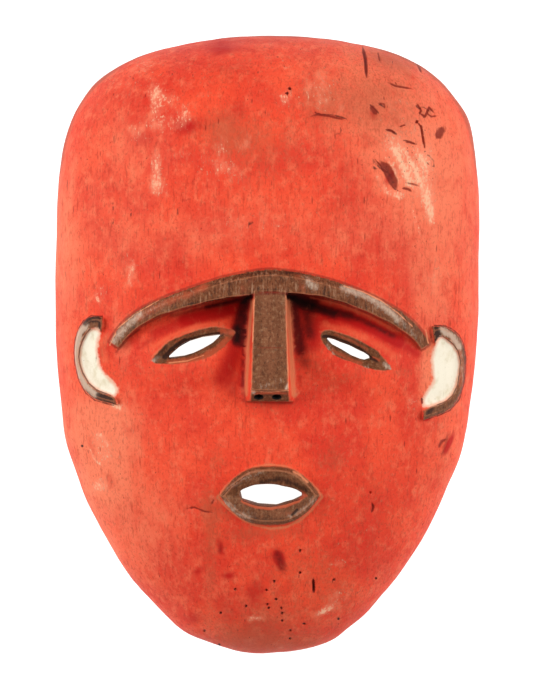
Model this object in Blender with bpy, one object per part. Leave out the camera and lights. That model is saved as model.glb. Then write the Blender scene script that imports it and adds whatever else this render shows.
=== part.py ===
# Carved wooden face mask: one hollowed block, lying on its flat back rim.
# Metres, +Z up. The face looks up (+Z), the top of the head is toward +Y,
# and the origin is in the middle of the rim's plane.

import math

import bpy
import bmesh
from mathutils import Vector

# The block
HEIGHT = 0.3197
WIDTH = 0.2191
DEPTH = 0.066
RIM_WIDTH = 0.0105
WALL = 0.0095

# The outline and the dome: exponents of the broad top and of the narrow chin
TOP_ACROSS = 2.33
TOP_ALONG = 5.0
CHIN_ACROSS = 1.99
CHIN_ALONG = 2.08
DOME_ROUNDNESS = 2.2
LEAN = 0.0117

# Places on the face: shares of WIDTH across it and of HEIGHT up it, from its middle
WIDEST_UP = 0.069
TOP_BLEND = 0.438
MIDDLE_ACROSS = 0.0078
MIDDLE_UP = -0.009
BROW_UP = 0.102
BROW_FALL = 0.111
BROW_REACH = 0.365
SOCKET_REACH = 0.402
SOCKET_DOWN = 0.094
CHEEK_DOWN = 0.141
SWELLING_REACH = 0.30
SWELLING_UP = 0.070
NOSE_TIP_UP = -0.0722
MOUTH_UP = -0.245
EAR_HALF_ACROSS = 0.0831
EAR_HALF_UP = 0.0647

# Depths carved below the dome under the brow, and the lids' swelling in them
SOCKET_DEPTH = 0.0155
FACE_DROP = 0.0030
LID_RISE = 0.0040

# The brow, one bar bent down at both ends
BROW_THICK = 0.0117
BROW_TIP_THICK = 0.0050
BROW_RISE = 0.0045
BROW_BEVEL = 0.0030

# The nose, a tapered wedge hanging from the brow
NOSE_ROOT_WIDTH = 0.0159
NOSE_TIP_WIDTH = 0.0182
NOSE_FLARE = 0.0040
NOSE_TIP_RISE = 0.0180
NOSE_UNDERCUT = 0.0060
NOSE_BEVEL_DEPTH = 0.0115
NOSE_EDGE = 0.0009
NOSTRIL_WIDTH = 0.0052
NOSTRIL_DEPTH = 0.0060
NOSTRIL_SPACING = 0.0092

# The eyes: each an almond with a slit, its place across and up, and its turn
EYE_LENGTH = 0.0425
EYE_OPEN = 0.0125
EYE_BEVEL = 0.0036
EYE_ROUNDNESS = 2.1
SLIT_LENGTH = 0.0280
SLIT_OPEN = 0.0068
LEFT_EYE = (-0.173, -0.0038, 17.0)
RIGHT_EYE = (0.2086, -0.0103, -25.0)

# The mouth, with lips standing off the face
LIPS_LENGTH = 0.0512
LIPS_HEIGHT = 0.0299
LIPS_RISE = 0.0055
LIPS_CREST_IN = 0.0020
LIPS_ROUNDNESS = 2.7
MOUTH_LENGTH = 0.0325
MOUTH_OPEN = 0.0106

# The ears: each a curved rim, its place across and up, its first and last angle
EAR_RIM_WIDTH = 0.0032
EAR_RISE = 0.0040
EAR_CUP_WIDTH = 0.0085
LEFT_EAR = (-0.365, -0.025, 100.0, 282.0)
RIGHT_EAR = (0.379, -0.0407, 80.0, -86.0)

# How finely the carving is faceted
ROUND_SIDES = 84
FACE_RINGS = 12
SIDE_RINGS = 13
HOLLOW_RINGS = 12
BROW_STEPS = 24
LENS_POINTS = 28
EAR_STEPS = 14

# Worked out from the sizes above
HALF_HEIGHT = HEIGHT / 2
HALF_WIDTH = WIDTH / 2
MIDDLE_X = MIDDLE_ACROSS * WIDTH
MIDDLE_Y = MIDDLE_UP * HEIGHT
BROW_END = BROW_REACH * WIDTH
NOSE_TIP_Y = NOSE_TIP_UP * HEIGHT
MOUTH = (MIDDLE_X, MOUTH_UP * HEIGHT)
EAR_HALF_WIDTH = EAR_HALF_ACROSS * WIDTH
EAR_HALF_HEIGHT = EAR_HALF_UP * HEIGHT
BURIED = WALL * 0.45
THROUGH = -WALL


def smooth(low, high, value):
    """0 below low, 1 above high, with a soft change between them."""
    t = min(1.0, max(0.0, (value - low) / (high - low)))
    return t * t * (3 - 2 * t)


def level(x, y, inset):
    """0 in the middle of the face and 1 on the outline, drawn in by inset."""
    widest = WIDEST_UP * HEIGHT
    blend = TOP_BLEND * HEIGHT
    side = abs(x - LEAN * y) / (HALF_WIDTH - inset)
    up = y - widest
    reach = HALF_HEIGHT - widest if up > 0 else HALF_HEIGHT + widest
    along = TOP_ALONG if up > 0 else CHIN_ALONG
    across = CHIN_ACROSS + (TOP_ACROSS - CHIN_ACROSS) * smooth(-blend, blend, up)
    return side ** across + (abs(up) / (reach - inset)) ** along


def brow_line(x):
    """Height up the face of the brow's centre line, rounder on the right."""
    across = max(-1.0, min(1.0, (x - MIDDLE_X) / BROW_END))
    if across < 0:
        fall = 0.56 * (-across) ** 1.5 + 0.44 * across ** 8
    else:
        fall = 0.86 * across ** 2 + 0.14 * across ** 8
    return HEIGHT * (BROW_UP - BROW_FALL * fall)


def lid_swell(x, y, eye):
    """Height of the eyelids' swelling around one eye."""
    turn = math.radians(eye[2])
    dx = x - eye[0] * WIDTH
    dy = y - eye[1] * HEIGHT
    along = dx * math.cos(turn) + dy * math.sin(turn)
    across = dy * math.cos(turn) - dx * math.sin(turn)
    radius = math.hypot(along / EYE_LENGTH, across / (2.1 * EYE_OPEN))
    return LID_RISE * (1 - smooth(0.35, 0.95, radius))


def sunk(x, y):
    """Depth of the carved face below the plain dome."""
    below = brow_line(x) - y
    under = smooth(-0.4 * BROW_TIP_THICK, BROW_TIP_THICK, below)
    out = abs(x - MIDDLE_X) / WIDTH
    socket = SOCKET_DEPTH * math.exp(-((below / (SOCKET_DOWN * HEIGHT)) ** 2))
    socket *= 1 - smooth(0.06, SOCKET_REACH, out)
    drop = FACE_DROP * math.exp(-((below / (3 * SOCKET_DOWN * HEIGHT)) ** 2))
    drop *= 1 - smooth(0.27, 0.43, out)
    return under * (socket + drop - lid_swell(x, y, LEFT_EYE) - lid_swell(x, y, RIGHT_EYE))


def dome(x, y):
    """Height of the plain dome over the rim's plane."""
    return DEPTH * max(0.0, 1 - level(x, y, 0.0)) ** (1 / DOME_ROUNDNESS)


def front(x, y):
    """Height of the carved front over the rim's plane."""
    return max(0.0, dome(x, y) - sunk(x, y))


def hollow(x, y):
    """Height of the hollowed back, which follows the sockets as one soft swelling."""
    inner = level(x, y, RIM_WIDTH)
    bowl = (DEPTH - WALL) * max(0.0, 1 - inner) ** (1 / DOME_ROUNDNESS)
    out = (x - MIDDLE_X) / (SWELLING_REACH * WIDTH)
    up = (y - SWELLING_UP * HEIGHT) / (SOCKET_DOWN * HEIGHT)
    return bowl - (SOCKET_DEPTH + FACE_DROP) * math.exp(-out ** 4 - up ** 2)


def normal_at(x, y):
    """Direction in which the front faces."""
    step = 0.001
    slope_x = (front(x + step, y) - front(x - step, y)) / (2 * step)
    slope_y = (front(x, y + step) - front(x, y - step)) / (2 * step)
    return Vector((-slope_x, -slope_y, 1)).normalized()


def first_outside(angle, inside):
    """Distance from the face's middle, in one direction, to the end of a region."""
    low, high = 0.0, HEIGHT
    for _ in range(40):
        half_way = (low + high) / 2
        x = MIDDLE_X + half_way * math.cos(angle)
        y = MIDDLE_Y + half_way * math.sin(angle)
        if inside(x, y):
            low = half_way
        else:
            high = half_way
    return low


def edge_radius(angle, inset):
    """Distance from the face's middle to the outline."""
    return first_outside(angle, lambda x, y: level(x, y, inset) < 1)


def face_radius(angle, lift):
    """Distance to the brow's line, and below the eyes to an arc across the cheeks."""
    def inside(x, y):
        side = (x - MIDDLE_X) / (BROW_END + BROW_TIP_THICK / 2)
        if y > MIDDLE_Y:
            return abs(side) < 1 and y < brow_line(x) + lift
        return side ** 2 + ((y - MIDDLE_Y) / (CHEEK_DOWN * HEIGHT)) ** 2 < 1
    return first_outside(angle, inside)


def make_object(name, bm):
    """A mesh object with its faces pointing out."""
    bmesh.ops.recalc_face_normals(bm, faces=bm.faces)
    mesh = bpy.data.meshes.new(name)
    bm.to_mesh(mesh)
    bm.free()
    thing = bpy.data.objects.new(name, mesh)
    bpy.context.scene.collection.objects.link(thing)
    return thing


def bridge(bm, first, second):
    """Quads between two closed rows of points."""
    for i in range(len(first)):
        j = (i + 1) % len(first)
        bm.faces.new((first[i], first[j], second[j], second[i]))


def stacked_rings(name, rings):
    """A hidden closed form through rings of points, capped at both ends."""
    bm = bmesh.new()
    rows = [[bm.verts.new(point) for point in ring] for ring in rings]
    for below, above in zip(rows, rows[1:]):
        bridge(bm, below, above)
    bm.faces.new(rows[0])
    bm.faces.new(list(reversed(rows[-1])))
    form = make_object(name, bm)
    form.hide_render = True
    form.display_type = "WIRE"
    return form


def fan_of_rows(bm, radius_rows, height):
    """Rings of points around the face's middle, the last one on the rim's plane."""
    middle = bm.verts.new((MIDDLE_X, MIDDLE_Y, height(MIDDLE_X, MIDDLE_Y)))
    rows = []
    for radii in radius_rows:
        row = []
        for side, radius in enumerate(radii):
            angle = side / ROUND_SIDES * 2 * math.pi
            x = MIDDLE_X + radius * math.cos(angle)
            y = MIDDLE_Y + radius * math.sin(angle)
            z = 0.0 if radii is radius_rows[-1] else height(x, y)
            row.append(bm.verts.new((x, y, z)))
        rows.append(row)
    for i in range(ROUND_SIDES):
        bm.faces.new((middle, rows[0][i], rows[0][(i + 1) % ROUND_SIDES]))
    for inner, outer in zip(rows, rows[1:]):
        bridge(bm, inner, outer)
    return rows[-1]


def make_shell():
    """The block, hollowed from the back and left with a flat rim."""
    angles = [side / ROUND_SIDES * 2 * math.pi for side in range(ROUND_SIDES)]
    edges = [edge_radius(angle, 0.0) for angle in angles]
    under_brow = [face_radius(angle, -BROW_TIP_THICK / 2) for angle in angles]
    over = BROW_TIP_THICK / 5
    over_brow = [face_radius(angle, over) + over for angle in angles]
    front_rows = [[radius * ring / FACE_RINGS for radius in under_brow]
                  for ring in range(1, FACE_RINGS + 1)]
    front_rows.append(over_brow)
    for ring in range(1, SIDE_RINGS + 1):
        share = math.sin(ring / SIDE_RINGS * math.pi / 2)
        front_rows.append([near + (far - near) * share for near, far in zip(over_brow, edges)])
    inner_edges = [edge_radius(angle, RIM_WIDTH) for angle in angles]
    hollow_rows = [[radius * math.sin(ring / HOLLOW_RINGS * math.pi / 2) for radius in inner_edges]
                   for ring in range(1, HOLLOW_RINGS + 1)]
    bm = bmesh.new()
    outer_edge = fan_of_rows(bm, front_rows, front)
    inner_edge = fan_of_rows(bm, hollow_rows, hollow)
    bridge(bm, outer_edge, inner_edge)
    return make_object("mask", bm)


def make_brow():
    """The brow's bar, swept along its bent line, bevelled along its upper edge."""
    rings = []
    for step in range(BROW_STEPS + 1):
        across = 2 * step / BROW_STEPS - 1
        x = MIDDLE_X + BROW_END * across
        inner_x = MIDDLE_X + BROW_END * max(-0.99, min(0.99, across))
        slope = (brow_line(inner_x + 0.0005) - brow_line(inner_x - 0.0005)) / 0.001
        side = Vector((-slope, 1, 0)).normalized()
        taper = abs(across) ** 1.5
        half = (BROW_THICK + (BROW_TIP_THICK - BROW_THICK) * taper) / 2
        rise = BROW_RISE * (1 - 0.45 * taper)
        bevel = min(BROW_BEVEL, half * 0.8)
        ring = []
        for offset, lift in ((half, -BURIED), (half, rise * 0.13), (half - bevel, rise),
                             (-half, rise * 0.87), (half * 0.2 - half, 0.0)):
            point = Vector((x, brow_line(x), 0)) + side * offset
            point.z = dome(point.x, point.y) + lift
            ring.append(point)
        ring[-1].z = front(ring[-1].x, ring[-1].y - half) - BURIED
        rings.append(ring)
    return stacked_rings("brow_form", rings)


def make_nose():
    """The nose's wedge, with a bevelled underside."""
    root = brow_line(MIDDLE_X)
    high_root = dome(MIDDLE_X, root) + BROW_RISE * 0.85
    high_tip = front(MIDDLE_X, NOSE_TIP_Y) + NOSE_TIP_RISE
    stations = []
    for share in (0.0, 0.25, 0.5, 0.75, 1.0):
        half = (NOSE_ROOT_WIDTH + (NOSE_TIP_WIDTH - NOSE_ROOT_WIDTH) * share) / 2
        flare = NOSE_FLARE * (0.3 + 0.7 * share)
        stations.append((root + (NOSE_TIP_Y - root) * share, half, flare,
                         high_root + (high_tip - high_root) * share))
    stations.append((NOSE_TIP_Y - NOSE_UNDERCUT, NOSE_TIP_WIDTH / 2 + NOSE_FLARE * 0.3,
                     NOSE_FLARE * 0.7, high_tip - NOSE_BEVEL_DEPTH))
    rings = []
    for y, half, flare, high in stations:
        wide = half + flare
        floor_y = min(y, root - BROW_THICK)
        low = min(front(MIDDLE_X - wide, floor_y), front(MIDDLE_X + wide, floor_y)) - BURIED
        rings.append([Vector((MIDDLE_X + x, y, z)) for x, z in
                      ((-wide, low), (wide, low), (half, high), (-half, high))])
    nose = stacked_rings("nose_form", rings)
    edge = nose.modifiers.new("edge", "BEVEL")
    edge.width = NOSE_EDGE
    edge.segments = 1
    edge.limit_method = "ANGLE"
    return nose


def make_nostril(name, side):
    """A short hole drilled up into the nose's bevelled underside."""
    entry = Vector((MIDDLE_X + side * NOSTRIL_SPACING / 2,
                    NOSE_TIP_Y - NOSE_UNDERCUT * 0.62,
                    front(MIDDLE_X, NOSE_TIP_Y) + NOSE_TIP_RISE - NOSE_BEVEL_DEPTH * 0.62))
    along_bevel = Vector((0, NOSE_UNDERCUT, NOSE_BEVEL_DEPTH)).normalized()
    inward = Vector((0, along_bevel.z, -along_bevel.y))
    rings = []
    for depth, size in ((-NOSTRIL_DEPTH, 1.0), (NOSTRIL_DEPTH, 0.72)):
        ring = []
        for step in range(10):
            angle = step / 10 * 2 * math.pi
            across = Vector((math.cos(angle) * NOSTRIL_WIDTH / 2 * size, 0, 0))
            up = along_bevel * math.sin(angle) * NOSTRIL_WIDTH * 0.38 * size
            ring.append(entry + inward * depth + across + up)
        rings.append(ring)
    return stacked_rings(name, rings)


def lens(centre, length, height, roundness, turn=0.0):
    """Points around a lens with two pointed ends."""
    points = []
    half = LENS_POINTS // 2
    angle = math.radians(turn)
    for step in range(LENS_POINTS):
        along = math.cos((step % half) / half * math.pi)
        across = max(0.0, 1 - abs(along) ** roundness) * height / 2
        if step >= half:
            along, across = -along, -across
        along *= length / 2
        points.append((centre[0] + along * math.cos(angle) - across * math.sin(angle),
                       centre[1] + along * math.sin(angle) + across * math.cos(angle)))
    return points


def make_eye_cutter(name, eye):
    """The almond's bevelled rim, and the slit that goes right through."""
    centre = (eye[0] * WIDTH, eye[1] * HEIGHT)
    slit = lens(centre, SLIT_LENGTH, SLIT_OPEN, EYE_ROUNDNESS, eye[2])
    almond = lens(centre, EYE_LENGTH, EYE_OPEN, EYE_ROUNDNESS, eye[2])
    above = EYE_BEVEL * 0.4
    reach = 1 + above / EYE_BEVEL
    wide = lens(centre, SLIT_LENGTH + (EYE_LENGTH - SLIT_LENGTH) * reach,
                SLIT_OPEN + (EYE_OPEN - SLIT_OPEN) * reach, EYE_ROUNDNESS, eye[2])
    rings = [
        [Vector((x, y, THROUGH)) for x, y in slit],
        [Vector((x, y, front(x, y) - EYE_BEVEL)) for x, y in slit],
        [Vector((x, y, front(*rim) + above)) for (x, y), rim in zip(wide, almond)],
        [Vector((x, y, front(x, y) + EYE_BEVEL)) for x, y in slit],
    ]
    return stacked_rings(name, rings)


def make_lips():
    """The lips: an outer wall, a worn crest and a slope down to the opening."""
    outer = lens(MOUTH, LIPS_LENGTH, LIPS_HEIGHT, LIPS_ROUNDNESS)
    crest = lens(MOUTH, LIPS_LENGTH - 2.4 * LIPS_CREST_IN, LIPS_HEIGHT - 2 * LIPS_CREST_IN,
                 LIPS_ROUNDNESS)
    inner = lens(MOUTH, MOUTH_LENGTH, MOUTH_OPEN, LIPS_ROUNDNESS)
    core = lens(MOUTH, MOUTH_LENGTH / 2, MOUTH_OPEN / 2, LIPS_ROUNDNESS)
    rings = []
    for outline, lift in ((outer, -BURIED), (outer, LIPS_RISE * 0.45), (crest, LIPS_RISE),
                          (inner, LIPS_RISE * 0.4), (core, LIPS_RISE * 0.25)):
        rings.append([Vector((x, y, front(x, y) + lift)) for x, y in outline])
    return stacked_rings("lips_form", rings)


def make_mouth_cutter():
    """The mouth's opening, straight through the wall."""
    outline = lens(MOUTH, MOUTH_LENGTH, MOUTH_OPEN, LIPS_ROUNDNESS)
    over_lips = front(*MOUTH) + 4 * LIPS_RISE
    rings = [[Vector((x, y, z)) for x, y in outline] for z in (THROUGH, over_lips)]
    return stacked_rings("mouth_cutter", rings)


def make_ear(name, ear):
    """One ear: a raised curved rim, thicker at its ends, and the cup inside it."""
    across, up, first, last = ear
    rings = []
    for step in range(EAR_STEPS + 1):
        share = step / EAR_STEPS
        angle = math.radians(first + (last - first) * share)
        x = across * WIDTH + EAR_HALF_WIDTH * math.cos(angle)
        y = up * HEIGHT + EAR_HALF_HEIGHT * math.sin(angle)
        outward = Vector((math.cos(angle) / EAR_HALF_WIDTH,
                          math.sin(angle) / EAR_HALF_HEIGHT, 0)).normalized()
        normal = normal_at(x, y)
        side = normal.cross(outward).normalized().cross(normal)
        ends = abs(2 * share - 1) ** 3
        half = EAR_RIM_WIDTH / 2 * (1 + 0.45 * ends)
        rise = EAR_RISE * (1 - 0.25 * ends)
        cup = EAR_CUP_WIDTH * (1 - 0.5 * ends)
        root = Vector((x, y, front(x, y)))
        rings.append([root + side * offset + normal * lift for offset, lift in
                      ((half * 1.2, -BURIED), (half, rise * 0.55), (half * 0.3, rise),
                       (-half, rise * 0.85), (-half - cup * 0.4, rise * 0.25),
                       (-half - cup, -rise * 0.2), (-half - cup * 0.7, -BURIED))])
    return stacked_rings(name, rings)


def apply_boolean(target, operand, operation):
    """Add or take away one form with the exact solver."""
    modifier = target.modifiers.new(operand.name, "BOOLEAN")
    modifier.object = operand
    modifier.operation = operation
    modifier.solver = "EXACT"


def painted_wood():
    """Earth-red paint on carved wood."""
    material = bpy.data.materials.new("painted_wood")
    material.use_nodes = True
    shader = material.node_tree.nodes["Principled BSDF"]
    shader.inputs["Base Color"].default_value = (0.72, 0.09, 0.045, 1)
    shader.inputs["Roughness"].default_value = 0.62
    shader.inputs["Metallic"].default_value = 0.0
    return material


for old in list(bpy.data.objects):
    bpy.data.objects.remove(old, do_unlink=True)

mask = make_shell()
mask.data.materials.append(painted_wood())
mask.data.shade_smooth()

for form in (make_brow(), make_nose(), make_lips(),
             make_ear("left_ear_form", LEFT_EAR), make_ear("right_ear_form", RIGHT_EAR)):
    apply_boolean(mask, form, "UNION")
for cutter in (make_eye_cutter("left_eye_cutter", LEFT_EYE),
               make_eye_cutter("right_eye_cutter", RIGHT_EYE),
               make_mouth_cutter(),
               make_nostril("left_nostril_cutter", -1),
               make_nostril("right_nostril_cutter", 1)):
    apply_boolean(mask, cutter, "DIFFERENCE")
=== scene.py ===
import math

import bpy
import bmesh
import numpy as np
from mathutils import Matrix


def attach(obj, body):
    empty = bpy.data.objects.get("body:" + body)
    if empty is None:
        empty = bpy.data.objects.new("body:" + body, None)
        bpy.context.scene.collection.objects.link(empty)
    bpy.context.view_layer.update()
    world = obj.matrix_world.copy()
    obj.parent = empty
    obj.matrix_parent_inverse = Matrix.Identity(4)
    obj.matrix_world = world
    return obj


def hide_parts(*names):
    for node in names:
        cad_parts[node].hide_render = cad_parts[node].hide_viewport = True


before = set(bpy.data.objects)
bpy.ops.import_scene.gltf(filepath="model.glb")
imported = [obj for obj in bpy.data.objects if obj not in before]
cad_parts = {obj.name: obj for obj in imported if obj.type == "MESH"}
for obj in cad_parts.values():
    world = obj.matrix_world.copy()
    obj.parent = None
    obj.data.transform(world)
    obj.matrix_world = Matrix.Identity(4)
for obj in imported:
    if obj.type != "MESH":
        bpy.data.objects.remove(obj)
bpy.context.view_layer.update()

# The block: half a log of light, even-grained wood, hewn into a long oval dome with a
# broad forehead and a narrow chin, and hollowed from behind to a wall of about a
# centimetre. The flat rim left round the hollow is what the mask lies on.
HEIGHT = 0.3197
WIDTH = 0.2191
DEPTH = 0.066
WALL = 0.0095
RIM_WIDTH = 0.0105
TOP_ROUNDNESS = (2.33, 5.0)
CHIN_ROUNDNESS = (1.99, 2.08)
DOME_ROUNDNESS = 2.2
LEAN = 0.0117
WIDEST = 0.069 * HEIGHT
TOP_BLEND = 0.438 * HEIGHT
MIDDLE_X = 0.0078 * WIDTH
MIDDLE_Y = -0.009 * HEIGHT
BROW_END = 0.365 * WIDTH
SOCKET_DEPTH = 0.0155
SOCKET_DOWN = 0.094 * HEIGHT
SOCKET_FADE = (0.06, 0.402)
FACE_DROP = 0.0030
FACE_FADE = (0.27, 0.43)
UNDER_BROW = (-0.002, 0.005)
BROW_TOP = 0.102
BROW_FALL = 0.111
BROW_LEFT = ((0.63, 1.5), (0.29, 10))
BROW_RIGHT = ((0.80, 2), (0.15, 17))
EYE_LENGTH = 0.0425
EYE_OPEN = 0.0125
LID_RISE = 0.0040
LID_REACH = 2.1 * EYE_OPEN
LID_FADE = (0.35, 0.95)
LEFT_EYE = (-0.0379, -0.0012, 17.0)
RIGHT_EYE = (0.0457, -0.0033, -25.0)
SWELLING_WIDE = 0.30 * WIDTH
SWELLING_UP = 0.070 * HEIGHT
PHOTO_SCALE = 0.00051788
PHOTO_WIDTH = 533
PHOTO_MIDDLE = (266.5, 337.5)
MASK_MIDDLE_DOWN = 344.65


def at(across, down):
    """Place on the mask, in metres, of a point read off the photograph in pixels."""
    return ((across - PHOTO_MIDDLE[0]) * PHOTO_SCALE, (MASK_MIDDLE_DOWN - down) * PHOTO_SCALE)


def trace(points):
    """Places on the mask of a row of points read off the photograph."""
    return [at(*point) for point in points]


def smooth(low, high, value):
    """0 below low, 1 above high, with a soft change between them."""
    t = np.clip((value - low) / (high - low), 0.0, 1.0)
    return t * t * (3 - 2 * t)


def bump(x, y, place, reach_x, reach_y, turn=0.0):
    """A soft round hill of height 1 at a place, with its own reach each way."""
    angle = math.radians(turn)
    dx = x - place[0]
    dy = y - place[1]
    along = (dx * math.cos(angle) + dy * math.sin(angle)) / reach_x
    across = (dy * math.cos(angle) - dx * math.sin(angle)) / reach_y
    return np.exp(-along ** 2 - across ** 2)


def level(x, y, inset):
    """0 in the middle of the face and 1 on the outline, drawn in by inset."""
    side = np.abs(x - LEAN * y) / (WIDTH / 2 - inset)
    up = y - WIDEST
    reach = np.where(up > 0, HEIGHT / 2 - WIDEST, HEIGHT / 2 + WIDEST)
    along = np.where(up > 0, TOP_ROUNDNESS[1], CHIN_ROUNDNESS[1])
    blend = smooth(-TOP_BLEND, TOP_BLEND, up)
    across = CHIN_ROUNDNESS[0] + (TOP_ROUNDNESS[0] - CHIN_ROUNDNESS[0]) * blend
    return side ** across + (np.abs(up) / (reach - inset)) ** along


def brow_line(x):
    """Height up the face of the brow's centre line, rounder on the right."""
    across = np.clip((x - MIDDLE_X) / BROW_END, -1.0, 1.0)
    size = np.abs(across)
    left, right = (sum(share * size ** power for share, power in half)
                   for half in (BROW_LEFT, BROW_RIGHT))
    return HEIGHT * (BROW_TOP - BROW_FALL * np.where(across < 0, left, right))


def lid_swell(x, y, eye):
    """Height of the eyelids' swelling around one eye."""
    turn = math.radians(eye[2])
    along = (x - eye[0]) * math.cos(turn) + (y - eye[1]) * math.sin(turn)
    across = (y - eye[1]) * math.cos(turn) - (x - eye[0]) * math.sin(turn)
    radius = np.hypot(along / EYE_LENGTH, across / LID_REACH)
    return LID_RISE * (1 - smooth(*LID_FADE, radius))


def dome(x, y):
    """Height of the plain dome over the rim's plane."""
    return DEPTH * np.maximum(0.0, 1 - level(x, y, 0.0)) ** (1 / DOME_ROUNDNESS)


def front(x, y):
    """Height of the carved front, with its sunk eye sockets, over the rim's plane."""
    below = brow_line(x) - y
    out = np.abs(x - MIDDLE_X) / WIDTH
    socket = SOCKET_DEPTH * np.exp(-((below / SOCKET_DOWN) ** 2)) * (1 - smooth(*SOCKET_FADE, out))
    drop = FACE_DROP * np.exp(-((below / (3 * SOCKET_DOWN)) ** 2)) * (1 - smooth(*FACE_FADE, out))
    lids = lid_swell(x, y, LEFT_EYE) + lid_swell(x, y, RIGHT_EYE)
    return np.maximum(0.0, dome(x, y) - smooth(*UNDER_BROW, below) * (socket + drop - lids))


def hollow(x, y):
    """Height of the hollowed back, which follows the sockets as one soft swelling."""
    inner = np.maximum(0.0, 1 - level(x, y, RIM_WIDTH))
    out = (x - MIDDLE_X) / SWELLING_WIDE
    up = (y - SWELLING_UP) / SOCKET_DOWN
    swelling = (SOCKET_DEPTH + FACE_DROP) * np.exp(-out ** 4 - up ** 2)
    return (DEPTH - WALL) * inner ** (1 / DOME_ROUNDNESS) - swelling


def edge_radius(angles, inset):
    """Distance from the face's middle to the outline, in each direction."""
    low = np.zeros_like(angles)
    high = np.full_like(angles, HEIGHT)
    for _ in range(40):
        half_way = (low + high) / 2
        inside = level(MIDDLE_X + half_way * np.cos(angles),
                       MIDDLE_Y + half_way * np.sin(angles), inset) < 1
        low = np.where(inside, half_way, low)
        high = np.where(inside, high, half_way)
    return low


def new_object(name, data):
    """A mesh, light or camera put into the scene under a name."""
    thing = bpy.data.objects.new(name, data)
    bpy.context.scene.collection.objects.link(thing)
    return thing


def solid(name, points, faces):
    """A closed mesh object with its faces pointing out."""
    mesh = bpy.data.meshes.new(name)
    mesh.from_pydata([tuple(point) for point in points], [], faces)
    bm = bmesh.new()
    bm.from_mesh(mesh)
    bmesh.ops.recalc_face_normals(bm, faces=bm.faces)
    bm.to_mesh(mesh)
    bm.free()
    return new_object(name, mesh)


def ring_faces(first, second, count):
    """Quads between two closed rows of points that start at these numbers."""
    return [(first + i, first + (i + 1) % count, second + (i + 1) % count, second + i)
            for i in range(count)]


def hewn_block(sides, front_rings, hollow_rings):
    """The dome and the hollow as rings round the face's middle, joined by the flat rim."""
    angles = np.arange(sides) / sides * 2 * math.pi
    points = []
    faces = []
    last = []
    for height, rings, inset in ((front, front_rings, 0.0), (hollow, hollow_rings, RIM_WIDTH)):
        radius = edge_radius(angles, inset)
        centre = len(points)
        points.append((MIDDLE_X, MIDDLE_Y, float(height(np.array(MIDDLE_X), np.array(MIDDLE_Y)))))
        for ring in range(1, rings + 1):
            share = math.sin(ring / rings * math.pi / 2)
            x = MIDDLE_X + radius * share * np.cos(angles)
            y = MIDDLE_Y + radius * share * np.sin(angles)
            z = height(x, y) if ring < rings else np.zeros_like(x)
            start = len(points)
            points.extend(zip(x, y, z))
            if ring == 1:
                faces.extend((centre, start + i, start + (i + 1) % sides) for i in range(sides))
            else:
                faces.extend(ring_faces(start - sides, start, sides))
        last.append(len(points) - sides)
    faces.extend(ring_faces(last[0], last[1], sides))
    return solid("carved_mask", points, faces)


mask = hewn_block(360, 130, 60)

# The brow: one bar left standing across the forehead and bent down at both ends, cut
# from the same wood, with a knife bevel along its upper edge and a thinner tip each side.
BROW_THICK = 0.0120
BROW_WIDTHS = ((-1.0, -0.86, -0.7, -0.52, -0.3, 0.0, 0.32, 0.5, 0.7, 0.85, 1.0),
               (0.0060, 0.0072, 0.0078, 0.0088, 0.0110, BROW_THICK, 0.0098, 0.0090, 0.0084,
                0.0079, 0.0050))
BROW_RISE = 0.0045
BROW_BEVEL = 0.0030
BROW_WAVER = ((0.00022, 17, 1.1), (0.00016, 41, 0.0))
BURIED = WALL * 0.45


def stacked_rings(name, rings):
    """A closed form through rings of points, capped at both ends."""
    count = len(rings[0])
    points = [point for ring in rings for point in ring]
    faces = []
    for ring in range(len(rings) - 1):
        faces.extend(ring_faces(ring * count, (ring + 1) * count, count))
    faces.append(tuple(range(count)))
    faces.append(tuple(range(len(points) - 1, len(points) - count - 1, -1)))
    return solid(name, points, faces)


def brow_place(across):
    """A point on the brow's bent middle line, the way across it, and half its width there."""
    x = MIDDLE_X + BROW_END * across
    inner_x = MIDDLE_X + BROW_END * max(-0.98, min(0.98, across))
    slope = float(brow_line(inner_x + 0.0005) - brow_line(inner_x - 0.0005)) / 0.001
    side = np.array((-slope, 1.0)) / math.hypot(slope, 1.0)
    return np.array((x, float(brow_line(x)))), side, float(np.interp(across, *BROW_WIDTHS)) / 2


def brow_form():
    """The bar swept along its bent line, a little uneven as a knife leaves it."""
    rings = []
    for step in range(121):
        across = step / 60 - 1
        centre, side, half = brow_place(across)
        waver = sum(size * math.sin(turns * across + start) for size, turns, start in BROW_WAVER)
        rise = BROW_RISE * (1 - 0.45 * abs(across) ** 1.5 - 0.25 * abs(across) ** 20)
        bevel = min(BROW_BEVEL, half * 0.8)
        ring = []
        for offset, lift in ((half + waver, -BURIED), (half + waver, rise * 0.13),
                             (half - bevel, rise), (waver - half, rise * 0.87),
                             (half * 0.2 - half, 0.0)):
            px, py = centre + side * offset
            ring.append([px, py, float(dome(px, py)) + lift])
        ring[-1][2] = float(front(ring[-1][0], ring[-1][1] - half)) - BURIED
        rings.append(ring)
    return stacked_rings("brow_form", rings)


# The nose: a long straight wedge that hangs from the brow, widest and highest at its tip,
# with a flat bridge, an undercut base and two short nostrils drilled up into the base.
NOSE_TIP_Y = -0.0722 * HEIGHT
NOSE_TIP_RISE = 0.0180
NOSE_UNDERCUT = 0.0060
NOSE_BEVEL_DEPTH = 0.0115
NOSE_ROOT_WIDTH = 0.0159
NOSE_WIDENING = 0.0033
NOSE_FLARE = 0.0040
NOSE_BASE_HALF = 0.0104
NOSE_BASE_FLARE = 0.0028
NOSTRIL_WIDTH = 0.0052
NOSTRIL_DEPTH = 0.0060
NOSTRIL_SPACING = 0.0092
NOSTRILS_X = MIDDLE_X - 0.0011
NOSTRILS_DOWN = 0.62
NOSTRILS_Y = NOSE_TIP_Y - NOSE_UNDERCUT * NOSTRILS_DOWN
BROW_FOOT = float(brow_line(MIDDLE_X)) - BROW_THICK * 0.3


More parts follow.
